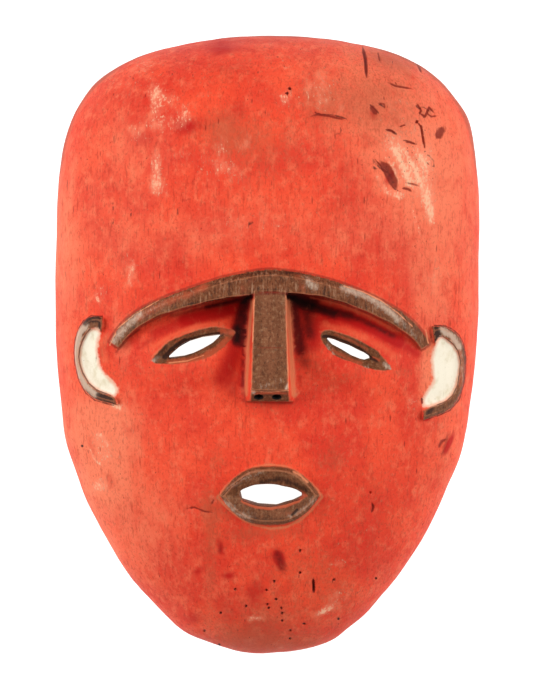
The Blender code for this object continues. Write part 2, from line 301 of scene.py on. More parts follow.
def nose_form():
    """The wedge as cross sections from its root in the brow to its undercut base."""
    root = float(brow_line(MIDDLE_X))
    high_root = float(dome(MIDDLE_X, root)) + BROW_RISE * 0.85
    high_tip = float(front(MIDDLE_X, NOSE_TIP_Y)) + NOSE_TIP_RISE
    stations = []
    for share in np.linspace(0.0, 1.0, 25):
        stations.append((root + (NOSE_TIP_Y - root) * share,
                         (NOSE_ROOT_WIDTH + NOSE_WIDENING * share) / 2,
                         NOSE_FLARE * (0.3 + 0.7 * share),
                         high_root + (high_tip - high_root) * share))
    stations.append((NOSE_TIP_Y - NOSE_UNDERCUT, NOSE_BASE_HALF, NOSE_BASE_FLARE,
                     high_tip - NOSE_BEVEL_DEPTH))
    rings = []
    for y, half, flare, high in stations:
        wide = half + flare
        floor_y = min(y, root - BROW_THICK)
        low = float(min(front(MIDDLE_X - wide, floor_y), front(MIDDLE_X + wide, floor_y))) - BURIED
        rings.append([(MIDDLE_X + x, y, z) for x, z in
                      ((-wide, low), (wide, low), (half, high), (-half, high))])
    return stacked_rings("nose_form", rings)


def nostril_cutter(name, side):
    """A short tapered hole at a right angle to the nose's undercut base."""
    entry = np.array((NOSTRILS_X + side * NOSTRIL_SPACING / 2, NOSTRILS_Y,
                      float(front(MIDDLE_X, NOSE_TIP_Y)) + NOSE_TIP_RISE
                      - NOSE_BEVEL_DEPTH * NOSTRILS_DOWN))
    slant = math.hypot(NOSE_UNDERCUT, NOSE_BEVEL_DEPTH)
    along = np.array((0.0, NOSE_UNDERCUT, NOSE_BEVEL_DEPTH)) / slant
    inward = np.array((0.0, along[2], -along[1]))
    rings = []
    for depth, size in ((-NOSTRIL_DEPTH, 1.0), (NOSTRIL_DEPTH, 0.72)):
        ring = []
        for angle in np.arange(24) / 24 * 2 * math.pi:
            across = np.array((math.cos(angle) * NOSTRIL_WIDTH / 2 * size, 0.0, 0.0))
            up = along * math.sin(angle) * NOSTRIL_WIDTH * 0.58 * size
            ring.append(entry + inward * depth + across + up)
        rings.append(ring)
    return stacked_rings(name, rings)


# The mouth: full lips left standing off the face, worn along their crest, round a narrow
# opening that is cut right through the wall and flares a little toward its lower edge.
MOUTH = at(270.0, 494.2)
LIPS_LENGTH = 0.0516
LIPS_HEIGHT = 0.0303
LIPS_RISE = 0.0055
LIPS_CREST_IN = 0.0020
LIPS_ROUNDNESS = 2.7
MOUTH_LENGTH = 0.0325
MOUTH_OPEN = 0.0106
MOUTH_EDGE = trace([(240.7, 490.7), (246.5, 487.3), (254.8, 484.4), (264.7, 483.6),
              (275.5, 484.0), (283.8, 485.7), (292.0, 487.8), (298.7, 490.7),
              (302.4, 493.6), (297.0, 497.7), (286.3, 501.0), (277.1, 503.8),
              (266.4, 503.9), (254.8, 502.3), (246.5, 499.4), (242.0, 496.5)])


def lens(centre, length, height, roundness, count=96):
    """Points around a lens with two pointed ends."""
    points = []
    half = count // 2
    for step in range(count):
        along = math.cos((step % half) / half * math.pi)
        across = max(0.0, 1 - abs(along) ** roundness) * height / 2
        if step >= half:
            along, across = -along, -across
        points.append((centre[0] + along * length / 2, centre[1] + across))
    return points


def closed_curve(points, count, grow=0.0):
    """An even, smooth closed line through points, grown outward by a distance."""
    knots = np.array(points)
    fine = []
    for i in range(len(knots)):
        a, b, c, d = (knots[(i + k) % len(knots)] for k in (-1, 0, 1, 2))
        for t in np.linspace(0.0, 1.0, 12, endpoint=False):
            fine.append(0.5 * (2 * b + (c - a) * t + (2 * a - 5 * b + 4 * c - d) * t ** 2
                               + (3 * b - a - 3 * c + d) * t ** 3))
    fine = np.array(fine)
    ahead = np.roll(fine, -1, axis=0)
    area = np.sum(fine[:, 0] * ahead[:, 1] - ahead[:, 0] * fine[:, 1])
    tangent = ahead - np.roll(fine, 1, axis=0)
    tangent /= np.linalg.norm(tangent, axis=1)[:, None]
    fine = fine + np.stack((tangent[:, 1], -tangent[:, 0]), axis=1) * grow * np.sign(area)
    steps = np.linalg.norm(np.roll(fine, -1, axis=0) - fine, axis=1)
    walked = np.concatenate(([0.0], np.cumsum(steps)))
    around = np.vstack((fine, fine[:1]))
    wanted = np.arange(count) / count * walked[-1]
    return list(zip(np.interp(wanted, walked, around[:, 0]),
                    np.interp(wanted, walked, around[:, 1])))


def lips_form():
    """The lips: an outer wall, a worn crest and a slope down to the opening."""
    crest = (LIPS_LENGTH - 2.4 * LIPS_CREST_IN, LIPS_HEIGHT - 2 * LIPS_CREST_IN)
    rings = []
    for size, lift in (((LIPS_LENGTH, LIPS_HEIGHT), -BURIED),
                       ((LIPS_LENGTH, LIPS_HEIGHT), LIPS_RISE * 0.45),
                       (crest, LIPS_RISE),
                       ((MOUTH_LENGTH, MOUTH_OPEN), LIPS_RISE * 0.4),
                       ((MOUTH_LENGTH / 2, MOUTH_OPEN / 2), LIPS_RISE * 0.25)):
        rings.append([(x, y, float(front(x, y)) + lift)
                      for x, y in lens(MOUTH, size[0], size[1], LIPS_ROUNDNESS)])
    return stacked_rings("lips_form", rings)


def mouth_cutter():
    """The opening through the wall, wider at the lips than behind them."""
    over_lips = float(front(*MOUTH)) + 4 * LIPS_RISE
    at_lips = float(front(*MOUTH)) + LIPS_RISE * 0.2
    back = closed_curve([(x, y + 0.0005) for x, y in MOUTH_EDGE], 120)
    mouth = closed_curve([(x + 0.0004, y - 0.0001) for x, y in MOUTH_EDGE], 120, 0.0007)
    return stacked_rings("mouth_cutter", [[(x, y, -WALL) for x, y in back],
                                          [(x, y, at_lips - 0.004) for x, y in back],
                                          [(x, y, at_lips) for x, y in mouth],
                                          [(x, y, over_lips) for x, y in mouth]])


# The ears: each a low curved rim, thicker at its ends, with a shallow cup inside it. Both
# are carved on the sides of the dome, the left one higher than the right.
EAR_RISE = 0.0046
EAR_CUP_WIDTH = 0.0060
EARS = {
    "left_ear_form": (
        [(104, 317.5), (98, 315.5), (91.5, 316.5), (84.5, 321.5), (79.5, 329),
         (76.8, 338), (75.4, 348), (75.7, 358), (77.3, 370), (80.8, 382),
         (86.5, 391.5), (94.5, 398.3), (103, 401.3), (113.5, 403.4), (118, 404.5)],
        [(102.8, 331.5), (97.5, 327.5), (91, 328.8), (87.3, 333), (84.2, 338.5),
         (81.2, 346), (79.9, 353), (80, 361), (82.4, 370.5), (86.4, 379),
         (92, 385.8), (98.5, 390.2), (105.5, 393), (113, 395.5), (116, 397.5)]),
    "right_ear_form": (
        [(431, 326.5), (437, 325.8), (444, 326.6), (450, 329.2), (456.2, 333.7),
         (460.9, 340.3), (463.5, 348.3), (464.6, 358), (464.5, 368), (463.4, 380),
         (460.7, 391.2), (456, 402), (448, 410), (439, 414), (430.5, 416.5),
         (422, 420)],
        [(433.5, 343.5), (438.7, 336), (441.5, 336), (445.6, 338.9), (451.7, 343.6),
         (456.2, 349.9), (458.9, 357.1), (459.6, 364.2), (458.9, 371), (457.3, 380),
         (454.5, 389.5), (449.5, 397.3), (442, 402.3), (434.5, 404.5),
         (428.5, 406.5), (422.5, 410.5)]),
}


def ear_edges(ear):
    """The rim's outer and inner edges as two even rows of points."""
    lines = []
    for edge in map(trace, EARS[ear]):
        steps = np.linspace(0, len(edge) - 1, 61)
        line = np.stack([np.interp(steps, range(len(edge)), row) for row in zip(*edge)], axis=1)
        for _ in range(6):
            line[1:-1] = (line[:-2] + 2 * line[1:-1] + line[2:]) / 4
        lines.append(line)
    return lines


def ear_form(ear):
    """The rim and cup as cross sections from the rim's outer edge into the cup."""
    rings = []
    for outer, inner in zip(*ear_edges(ear)):
        inward = (inner - outer) / np.linalg.norm(inner - outer)
        ring = []
        for place, lift in ((outer, -BURIED), (outer, EAR_RISE * 0.5),
                            (outer * 0.7 + inner * 0.3, EAR_RISE), (inner, EAR_RISE * 0.75),
                            (inner + inward * 0.0004, EAR_RISE * 0.22),
                            (inner + inward * EAR_CUP_WIDTH, -EAR_RISE * 0.15),
                            (inner + inward * EAR_CUP_WIDTH * 0.7, -BURIED)):
            ring.append((place[0], place[1], float(front(place[0], place[1])) + lift))
        rings.append(ring)
    return stacked_rings(ear, rings)


# The eyes: each an almond with a broad bevelled rim, sunk in its swollen lids, round a
# narrow slit that the wearer looks through. The slits' edges are ragged from old damage.
EYE_BEVEL = 0.0036
EYE_LIP = 0.0012
EYE_LIP_RISE = 0.0014
EYES = {
    "left_eye_cutter": (
        [(169.5, 357.6), (172.8, 352.6), (174.2, 351.9), (175.6, 349.8), (178.2, 348.9),
         (181, 345.3), (188, 341.7), (196.4, 338.9), (206.3, 336.1), (217.6, 334.2),
         (220.4, 335), (220.2, 338.4), (216.6, 339.6), (214.6, 341.8), (203.5, 348.1),
         (196.4, 351.6), (186.5, 355.1), (176.7, 357.4)],
        [(153, 360.6), (168, 343), (182, 336), (203, 329), (217, 327), (233, 330),
         (234.7, 334.5), (224, 347), (210, 356.4), (196, 360.6), (182, 363.4),
         (168, 364)]),
    "right_eye_cutter": (
        [(325.4, 339.8), (327, 338.1), (328.8, 337.6), (338.5, 341), (347.4, 344.2),
         (356.4, 349.2), (364.1, 353), (368.8, 356.4), (368.9, 359.9), (361.5, 359.2),
         (351.3, 355.3), (342.3, 350.8), (333.3, 345.7)],
        [(319.9, 334.4), (325.6, 330.3), (333.3, 331.2), (351.3, 337.2),
         (366.7, 344.9), (376.9, 351.3), (383.3, 359), (390.4, 368.4), (382, 370.3),
         (366.7, 367.9), (353.8, 362.8), (338.5, 357.4), (329.5, 351.3), (323, 343.6)]),
}


def eye_cutter(name, slit_points, rim_points):
    """The almond's bevel and the slit that goes right through."""
    slit = closed_curve(trace(slit_points), 120)
    rim = closed_curve(trace(rim_points), 120)
    wide = closed_curve(trace(rim_points), 120, EYE_LIP)
    return stacked_rings(name, [
        [(x, y, -WALL) for x, y in slit],
        [(x, y, float(front(x, y)) - EYE_BEVEL) for x, y in slit],
        [(x, y, float(front(x, y))) for x, y in rim],
        [(x, y, float(front(x, y)) + EYE_LIP_RISE) for x, y in wide],
        [(x, y, float(front(x, y)) + EYE_BEVEL) for x, y in slit]])


raised = [brow_form(), nose_form(), lips_form()]
raised += [ear_form(ear) for ear in EARS]
cut_out = [eye_cutter(name, slit, rim) for name, (slit, rim) in EYES.items()]
cut_out += [mouth_cutter(), nostril_cutter("left_nostril", -1), nostril_cutter("right_nostril", 1)]
for form in raised + cut_out:
    step = mask.modifiers.new(form.name, "BOOLEAN")
    step.object = form
    step.operation = "UNION" if form in raised else "DIFFERENCE"
    step.solver = "MANIFOLD"

# Carving done, the whole block becomes one even skin, its arrises a little rubbed down by
# the knife and by years of handling. The outline is out of true where the carver left it so.
SKIN = 0.00058
OUT_OF_TRUE = [
    (64, 441, 3.6, 30), (84, 495, 1.6, 20), (183, 634, 2.8, 18), (316, 645, 3.4, 22),
    (336, 637, 3.0, 16), (360, 620, 2.6, 22), (459, 458, 3.0, 26), (468, 122, 2.6, 20),
    (466, 425, 1.4, 22), (188, 45, -1.8, 36), (352, 43, -1.0, 24), (150, 600, -1.0, 20),
    (108, 538, -1.0, 18), (98, 82, 1.4, 16),
]
BROW_SIDES = [[tuple(centre + side * half * way) for centre, side, half in
               (brow_place(across) for across in np.linspace(-way, way, 81))] for way in (1, -1)]
NOSE_SIDES = ((0.0078, BROW_FOOT), (0.0094, NOSE_TIP_Y), (0.0098, NOSE_TIP_Y - NOSE_UNDERCUT))
CARVED_OUTLINES = [
    BROW_SIDES[0] + BROW_SIDES[1],
    [(MIDDLE_X + half, y) for half, y in NOSE_SIDES]
    + [(MIDDLE_X - half, y) for half, y in reversed(NOSE_SIDES)],
    lens(MOUTH, LIPS_LENGTH, LIPS_HEIGHT, LIPS_ROUNDNESS),
] + [closed_curve(trace(rim), 80) for slit, rim in EYES.values()] + [
    [tuple(point) for point in np.vstack((outer, inner[::-1]))]
    for outer, inner in map(ear_edges, EARS)]
RIM_TOLERANCE = 0.0004
FACING_DOWN = -0.5
OUTLINE_MARGIN = 0.008
FAR_OUTSIDE = -12.0
BESIDE_CARVING = -2.5


def plain_mesh(thing, name):
    """The object's finished shape as a plain mesh, with its modifiers gone."""
    shaped = bpy.data.meshes.new_from_object(
        thing.evaluated_get(bpy.context.evaluated_depsgraph_get()))
    thing.modifiers.clear()
    thing.data = shaped
    shaped.name = name
    return shaped


def places(mesh):
    """Every vertex's place and direction, as two arrays."""
    place = np.empty(len(mesh.vertices) * 3)
    mesh.vertices.foreach_get("co", place)
    facing = np.empty(len(mesh.vertices) * 3)
    mesh.vertex_normals.foreach_get("vector", facing)
    return place.reshape(-1, 3), facing.reshape(-1, 3)


def store(mesh, name, values):
    """Keep one number for every vertex under a name."""
    kept = mesh.attributes.get(name) or mesh.attributes.new(name, "FLOAT", "POINT")
    kept.data.foreach_set("value", values.astype(np.float32))


def on_rim(place, facing):
    """Where the skin lies flat on the table."""
    return (place[:, 2] < RIM_TOLERANCE) & (facing[:, 2] < FACING_DOWN)


def inside_share(place, facing):
    """1 on the hollowed back and the flat rim, 0 on the carved and painted front."""
    x, y, z = place.T
    middle = (front(x, y) + hollow(x, y)) / 2
    behind = (level(x, y, RIM_WIDTH) < 1) & (z < middle)
    return np.where(behind | on_rim(place, facing), 1.0, 0.0)


def close_by(x, y, points, margin):
    """Which places lie in the box around some points, widened by a margin."""
    low = np.min(points, axis=0) - margin
    high = np.max(points, axis=0) + margin
    return np.flatnonzero((x > low[0]) & (x < high[0]) & (y > low[1]) & (y < high[1]))


def line_distance(x, y, points):
    """Distance to a line through points, and how far along it, from 0 to 1."""
    nearest = np.full(x.shape, 1.0)
    share = np.zeros_like(x)
    steps = [math.dist(a, b) for a, b in zip(points, points[1:])]
    walked = 0.0
    for (ax, ay), (bx, by), step in zip(points, points[1:], steps):
        along = ((x - ax) * (bx - ax) + (y - ay) * (by - ay)) / max(step ** 2, 1e-12)
        t = np.clip(along, 0.0, 1.0)
        away = np.hypot(x - ax - t * (bx - ax), y - ay - t * (by - ay))
        nearer = away < nearest
        share = np.where(nearer, (walked + t * step) / max(sum(steps), 1e-9), share)
        nearest = np.where(nearer, away, nearest)
        walked += step
    return nearest, share


def outline_depth(x, y, outline):
    """Millimetres inside a closed outline, negative outside and far outside alike elsewhere."""
    result = np.full(x.shape, FAR_OUTSIDE)
    points = list(outline)
    near = close_by(x, y, points, OUTLINE_MARGIN)
    px, py = x[near], y[near]
    within = np.zeros(px.shape, bool)
    for (ax, ay), (bx, by) in zip(points, points[1:] + points[:1]):
        if ay != by:
            within ^= ((ay > py) != (by > py)) & (px < (bx - ax) * (py - ay) / (by - ay) + ax)
    away = line_distance(px, py, points + points[:1])[0]
    result[near] = np.maximum(FAR_OUTSIDE, np.where(within, away, -away) * 1000)
    return result


even = mask.modifiers.new("even_skin", "REMESH")
even.mode = "VOXEL"
even.voxel_size = SKIN
rub = mask.modifiers.new("rubbed_arrises", "SMOOTH")
rub.factor = 0.5
rub.iterations = 2
plain_mesh(mask, "carved_mask")
for form in raised + cut_out:
    bpy.data.objects.remove(form, do_unlink=True)

# Damage of a long life: drying cracks that run with the grain, gouges and knife slips on
# the forehead, and small chips, each with its own reach and depth in metres.
CUTS = [
    (((362, 47), (364.8, 60), (365.8, 80)), 0.0011, 0.0013),
    (((377.3, 52), (379.4, 64)), 0.0007, 0.0006),
    (((414, 60), (418, 66), (421, 74)), 0.0008, 0.0011), (((289.9, 90), (289, 92)), 0.0012, 0.003),
    (((286.8, 94.5), (287, 96.5)), 0.0012, 0.003),
    (((386.5, 84), (394.6, 87.7), (401.5, 88.8), (412, 90.5)), 0.0008, 0.0008),
    (((394, 83.5), (396, 87)), 0.0007, 0.0006), (((369.2, 107), (376.4, 117)), 0.002, 0.0008),
    (((376, 105), (383, 106), (384, 111)), 0.0008, 0.0006),
    (((309, 119), (317, 116.5), (330, 118.5), (346, 122.3)), 0.0009, 0.0008),
    (((315, 112), (315.5, 121)), 0.0006, 0.0004),
    (((415, 104), (420, 112), (418, 117)), 0.0008, 0.0008),
    (((417, 114), (424, 118), (428, 109), (434, 115)), 0.0009, 0.0009),
    (((424, 113), (430, 118), (437, 117)), 0.0007, 0.0007),
    (((415.4, 123), (420, 128), (421.6, 138), (423.8, 152)), 0.0007, 0.0014),
    (((415, 122.5), (416.5, 124.5)), 0.0012, 0.0016),
    (((385, 131.5), (390, 132.5), (395, 135.2)), 0.0008, 0.0009),
    (((398, 128.5), (405, 126)), 0.0006, 0.0007),
    (((442, 128), (439, 134), (435, 140)), 0.0028, 0.0009),
    (((403, 143), (409, 144), (415.5, 146)), 0.0008, 0.0008),
    (((372.7, 159.2), (380.5, 168.5), (387.5, 180), (393, 190), (399, 193)), 0.0007, 0.0012),
    (((379.5, 163), (386, 171), (391, 181), (395.5, 190)), 0.0032, 0.0012),
    (((400.4, 189.2), (407, 190.5), (411, 193)), 0.0009, 0.0009),
    (((404, 184), (412, 185.5), (419, 187.5)), 0.0007, 0.0007),
    (((313.1, 577), (313.6, 592)), 0.0009, 0.002),
    (((185.6, 507.7), (195, 506), (205, 510), (213.8, 511)), 0.0007, 0.0007),
    (((212, 503), (215, 497.5)), 0.0007, 0.0006),
    (((437, 448), (441, 441), (446, 438)), 0.0014, 0.0006),
    (((371, 501), (372.5, 506), (370.5, 512)), 0.0009, 0.0009),
    (((420.5, 397), (421, 404)), 0.0008, 0.0009),
    (((252, 346.6), (262, 347.6), (288, 347.2)), 0.0007, 0.0004),
    (((254, 293.2), (270, 292.6), (285.5, 293.2)), 0.0008, 0.0005),
    (((251.5, 390.8), (270, 391.6), (288.5, 390.2)), 0.0006, 0.0003),
]
WORM_HOLES = trace((
    (235.6, 587.7), (221, 611.4), (204.6, 629.8), (204.6, 641), (219.3, 644.2), (274.2, 579.6),
    (266.3, 588.8), (276, 597.6), (267.4, 602.8), (268.9, 606.5), (281.3, 606.5), (282.2, 611.7),
    (282.2, 619.2), (289.9, 629.2), (289.9, 637.5), (246, 604.4), (83, 445.6), (299.9, 571.1),
    (333.8, 578.2), (375.4, 577.3), (338.2, 617.7), (304, 622.4), (369.8, 491.5),
    (299.9, 549)))
WORM_RADIUS = 0.00057


def cut_depth(x, y):
    """How deep the damage goes at each place, in metres."""
    depth = np.zeros_like(x)
    for pixels, width, deepest in CUTS:
        points = trace(pixels)
        near = close_by(x, y, points, width)
        away, share = line_distance(x[near], y[near], points)
        taper = np.minimum(1.0, 0.35 + 3.0 * np.minimum(share, 1 - share))
        cut = deepest * taper * np.maximum(0.0, 1 - (away / (width * taper)) ** 1.3)
        depth[near] = np.maximum(depth[near], cut)
    return depth


place, facing = places(mask.data)
inside = inside_share(place, facing)
outer = (1 - inside) * smooth(0.1, 0.4, facing[:, 2])
place -= facing * (cut_depth(place[:, 0], place[:, 1]) * outer)[:, None]
x, y = place.T[:2]
away = np.hypot(x - MIDDLE_X, y - MIDDLE_Y)
push = np.zeros_like(x)
for across, down, pixels, reach in OUT_OF_TRUE:
    reach *= PHOTO_SCALE
    push += pixels * PHOTO_SCALE * bump(x, y, at(across, down), reach, reach)
place[:, 0] += push * (x - MIDDLE_X) / np.maximum(away, 0.001)
place[:, 1] += push * (y - MIDDLE_Y) / np.maximum(away, 0.001)
mask.data.vertices.foreach_set("co", place.ravel())
store(mask.data, "inside", inside)

# Tool marks and worm holes: the front keeps a soft hand-cut unevenness, the hollow the
# scoops of a small adze, and beetles left round holes, most of them in the chin.


def add(tree, kind, inputs=None, **settings):
    """One node with its settings, and its inputs set or linked to other nodes or outputs."""
    node = tree.nodes.new(kind)
    for name, value in settings.items():
        setattr(node, name, value)
    for key, value in (inputs or {}).items():
        source = value.outputs[0] if isinstance(value, bpy.types.Node) else value
        if isinstance(source, bpy.types.NodeSocket):
            tree.links.new(source, node.inputs[key])
        else:
            node.inputs[key].default_value = source
    return node


def tool_mark_tree(wanted):
    """Moves the skin along its own direction for knife, adze and beetle."""
    tree = bpy.data.node_groups.new("tool_marks", "GeometryNodeTree")
    tree.interface.new_socket("Geometry", in_out="OUTPUT", socket_type="NodeSocketGeometry")
    tree.interface.new_socket("Geometry", in_out="INPUT", socket_type="NodeSocketGeometry")
    for name, value in wanted.items():
        kind = "NodeSocketFloat" if isinstance(value, float) else "NodeSocketObject"
        tree.interface.new_socket(name, in_out="INPUT", socket_type=kind)
    given = add(tree, "NodeGroupInput").outputs
    where = add(tree, "GeometryNodeInputPosition")
    inside = add(tree, "GeometryNodeInputNamedAttribute", {"Name": "inside"},
                 data_type="FLOAT").outputs["Attribute"]

    fine = add(tree, "ShaderNodeMath", {0: 1.0, 1: given["Knife mark size"]}, operation="DIVIDE")
    stretched = add(tree, "ShaderNodeVectorMath", {0: where, 1: (1.0, 0.6, 1.0)},
                    operation="MULTIPLY")
    knife = add(tree, "ShaderNodeTexNoise", {"Vector": stretched, "Scale": fine,
                                             "Detail": 2.0, "Roughness": 0.45})
    knife = add(tree, "ShaderNodeMath", {0: knife, 1: 0.5}, operation="SUBTRACT")
    knife = add(tree, "ShaderNodeMath", {0: knife, 1: given["Knife mark depth"]},
                operation="MULTIPLY")
    outside = add(tree, "ShaderNodeMath", {0: 1.0, 1: inside}, operation="SUBTRACT")
    knife = add(tree, "ShaderNodeMath", {0: knife, 1: outside}, operation="MULTIPLY")

    wander = add(tree, "ShaderNodeTexNoise", {"Vector": where, "Scale": 45.0, "Detail": 1.0})
    shifted = add(tree, "ShaderNodeVectorMath",
                  {0: wander.outputs["Color"], 1: (0.006, 0.010, 0.006), 2: where},
                  operation="MULTIPLY_ADD")
    long_way = add(tree, "ShaderNodeVectorMath", {0: shifted, 1: (1.0, 0.42, 0.8)},
                   operation="MULTIPLY")
    coarse = add(tree, "ShaderNodeMath", {0: 1.0, 1: given["Adze scoop size"]}, operation="DIVIDE")
    adze = add(tree, "ShaderNodeTexVoronoi", {"Vector": long_way, "Scale": coarse,
                                              "Smoothness": 0.12}, feature="SMOOTH_F1")
    adze = add(tree, "ShaderNodeMath", {0: adze.outputs["Distance"], 1: 2.0}, operation="POWER")
    adze = add(tree, "ShaderNodeMath", {0: adze, 1: 0.45}, operation="SUBTRACT")
    adze = add(tree, "ShaderNodeMath", {0: adze, 1: given["Adze scoop depth"]},
               operation="MULTIPLY")
    above_rim = add(tree, "ShaderNodeMapRange",
                    {"Value": add(tree, "ShaderNodeSeparateXYZ", {0: where}).outputs[2],
                     "From Min": 0.001, "From Max": 0.007})
    for share in (above_rim, inside):
        adze = add(tree, "ShaderNodeMath", {0: adze, 1: share}, operation="MULTIPLY")

    holes = add(tree, "GeometryNodeObjectInfo", {"Object": given["Worm hole places"]})
    away = add(tree, "GeometryNodeProximity", {"Geometry": holes.outputs["Geometry"]},
               target_element="POINTS")
    narrow, wide = (add(tree, "ShaderNodeMath", {0: given["Worm hole radius"], 1: share},
                        operation="MULTIPLY") for share in (0.6, 1.25))
    bored = add(tree, "ShaderNodeMapRange",
                {"Value": away.outputs["Distance"], "From Min": narrow, "From Max": wide,
                 "To Min": 1.0, "To Max": 0.0})
    bored = add(tree, "ShaderNodeMath", {0: bored, 1: given["Worm hole depth"]},
                operation="MULTIPLY")

    total = add(tree, "ShaderNodeMath", {0: knife, 1: adze})
    total = add(tree, "ShaderNodeMath", {0: total, 1: bored}, operation="SUBTRACT")
    move = add(tree, "ShaderNodeVectorMath",
               {0: add(tree, "GeometryNodeInputNormal"), "Scale": total}, operation="SCALE")
    moved = add(tree, "GeometryNodeSetPosition", {"Geometry": given["Geometry"], "Offset": move})
    real = add(tree, "GeometryNodeRealizeInstances", {"Geometry": moved})
    painted = add(tree, "GeometryNodeSetMaterial", {"Geometry": real, "Material": red_paint})
    is_back = add(tree, "FunctionNodeCompare", {"A": inside, "B": 0.5}, operation="GREATER_THAN")
    bare = add(tree, "GeometryNodeSetMaterial",
               {"Geometry": painted, "Selection": is_back, "Material": hollow_wood})
    add(tree, "NodeGroupOutput", {0: bare})
    return tree


def colour(code):
    """A linear colour from an sRGB hex code."""
    parts = [int(code[i:i + 2], 16) / 255 for i in (1, 3, 5)]
    return [c / 12.92 if c <= 0.04045 else ((c + 0.055) / 1.055) ** 2.4 for c in parts] + [1.0]


red_paint = bpy.data.materials.new("earth_red_paint_on_carved_wood")
hollow_wood = bpy.data.materials.new("adzed_wood_browned_by_wear")
hole_points = bpy.data.meshes.new("worm_hole_places")
hole_points.from_pydata([(x, y, float(front(x, y))) for x, y in WORM_HOLES], [], [])
hole_places = new_object("worm_hole_places", hole_points)
mask.data.materials.clear()
marks = mask.modifiers.new("tool_marks", "NODES")
wanted = {"Knife mark size": 0.016, "Knife mark depth": 0.0011, "Adze scoop size": 0.013,
          "Adze scoop depth": 0.0011, "Worm hole places": hole_places,
          "Worm hole radius": WORM_RADIUS, "Worm hole depth": 0.0026}
marks.node_group = tool_mark_tree(wanted)
for item in marks.node_group.interface.items_tree:
    if item.in_out == "INPUT" and item.name in wanted:
        marks[item.identifier] = wanted[item.name]

# Thinning: the skin gives up triangles first in the hollow and on the plain face, and keeps
# them on the carved forms, cuts and holes. What lies on the table is then made exactly flat.
MOST_TRIANGLES = 194000
COARSE_INSIDE = 0.9
COARSE_OUTSIDE = 0.5
x, y = place.T[:2]
carved = np.max([outline_depth(x, y, outline) for outline in CARVED_OUTLINES],
                axis=0) > BESIDE_CARVING
carved |= np.min([np.hypot(x - a, y - b) for a, b in WORM_HOLES], axis=0) < 2 * WORM_RADIUS
carved |= cut_depth(x, y) > 0
fineness = mask.vertex_groups.new(name="may_be_coarse")
for share, chosen in ((COARSE_INSIDE, inside == 1), (COARSE_OUTSIDE, (inside == 0) & ~carved)):
    fineness.add(np.flatnonzero(chosen).tolist(), share, "REPLACE")
fewer = mask.modifiers.new("fewer_triangles", "DECIMATE")
fewer.ratio = min(1.0, MOST_TRIANGLES / (2 * len(mask.data.polygons)))
fewer.vertex_group = fineness.name
fewer.vertex_group_factor = 1.0
plain_mesh(mask, "carved_mask")
bpy.data.objects.remove(hole_places, do_unlink=True)
mask.vertex_groups.clear()
place, facing = places(mask.data)
place[:, 2] = np.where(on_rim(place, facing), 0.0, np.maximum(place[:, 2], 0.0))
mask.data.vertices.foreach_set("co", place.ravel())
mask.data.shade_smooth()

# The finish: earth-red paint rubbed on the front, white clay in the ear cups, and wood left
# bare and handled brown on the brow, nose, lips, eye rims and ear rims. It is worn thin in
# places and dirty on the chin. Painted shade darkens the sockets under the brow, the sides of
# the nose root, the brow's foot, the lips and ear rims, the chin, the nostrils, the worm holes
# and the deepest cuts, and painted light brightens the lids and the nose's flanks.
LINES_REACH = 6.0
MOST_SCUFFED = 1.1
SHARPEST_CREST = 300.0
NOSTRIL_HALF = (0.0026, 0.0014)
BROW_EDGE_END = at(440, 300)[0]


def spread(x, y, spots):
    """Soft overlapping spots: place, reach each way in photo pixels, turn, strength."""
    total = np.zeros_like(x)
    for across, down, reach_x, reach_y, turn, strength in spots:
        total += strength * bump(x, y, at(across, down), reach_x * PHOTO_SCALE,
                                 reach_y * PHOTO_SCALE, turn)
    return total


def strokes(x, y, lines):
    """Soft overlapping strokes: the line's points and reach in photo pixels, and strength."""
    total = np.zeros_like(x)
    for points, reach, strength in lines:
        line = trace(points)
        reach *= PHOTO_SCALE
        near = close_by(x, y, line, 2.5 * reach)
        away = line_distance(x[near], y[near], line)[0]
        total[near] = np.maximum(total[near], strength * np.exp(-(away / reach) ** 2))
    return total


def nearest_line(x, y, lines):
    """Distance to the nearest of several thin lines, as a share of its own half width."""
    result = np.full(x.shape, LINES_REACH)
    for points, half in lines:
        line = trace(points)
        half *= PHOTO_SCALE
        near = close_by(x, y, line, LINES_REACH * half)
        result[near] = np.minimum(result[near], line_distance(x[near], y[near], line)[0] / half)
    return result


def ridges(mesh, place, facing):
    """How sharply the skin turns at each vertex: above 0 on a ridge, below 0 in a groove."""
    edges = np.empty(len(mesh.edges) * 2, np.int64)
    mesh.edges.foreach_get("vertices", edges)
    first, second = edges.reshape(-1, 2).T
    count = len(place)
    met = np.bincount(np.concatenate((first, second)), minlength=count)
    step = place[second] - place[first]
    reach = np.linalg.norm(step, axis=1)
    fall = np.sum(step * facing[first], axis=1) / reach ** 2
    climb = -np.sum(step * facing[second], axis=1) / reach ** 2
    sharp = -(np.bincount(first, fall, count) + np.bincount(second, climb, count)) / met
    for _ in range(2):
        around = np.bincount(first, sharp[second], count) + np.bincount(second, sharp[first], count)
        sharp = (sharp + around / met) / 2
    return sharp


left_inner, right_inner = (ear_edges(ear)[1] for ear in EARS)
CLAY_SHAPES = [
    [tuple(point) for point in left_inner[2:-1]]
    + trace(((119.6, 391.3), (118.7, 386.5), (113.8, 380.8), (106.2, 373),
              (101.3, 365.4), (98.5, 350), (99.4, 341.3), (102.3, 333.7))),
    [tuple(point) for point in right_inner[1:-4]]
    + trace(((422, 406), (421.2, 398.4), (425.6, 391.2), (431.9, 381.3), (431, 367.8),
              (430.1, 358.9), (431.9, 350))),
]

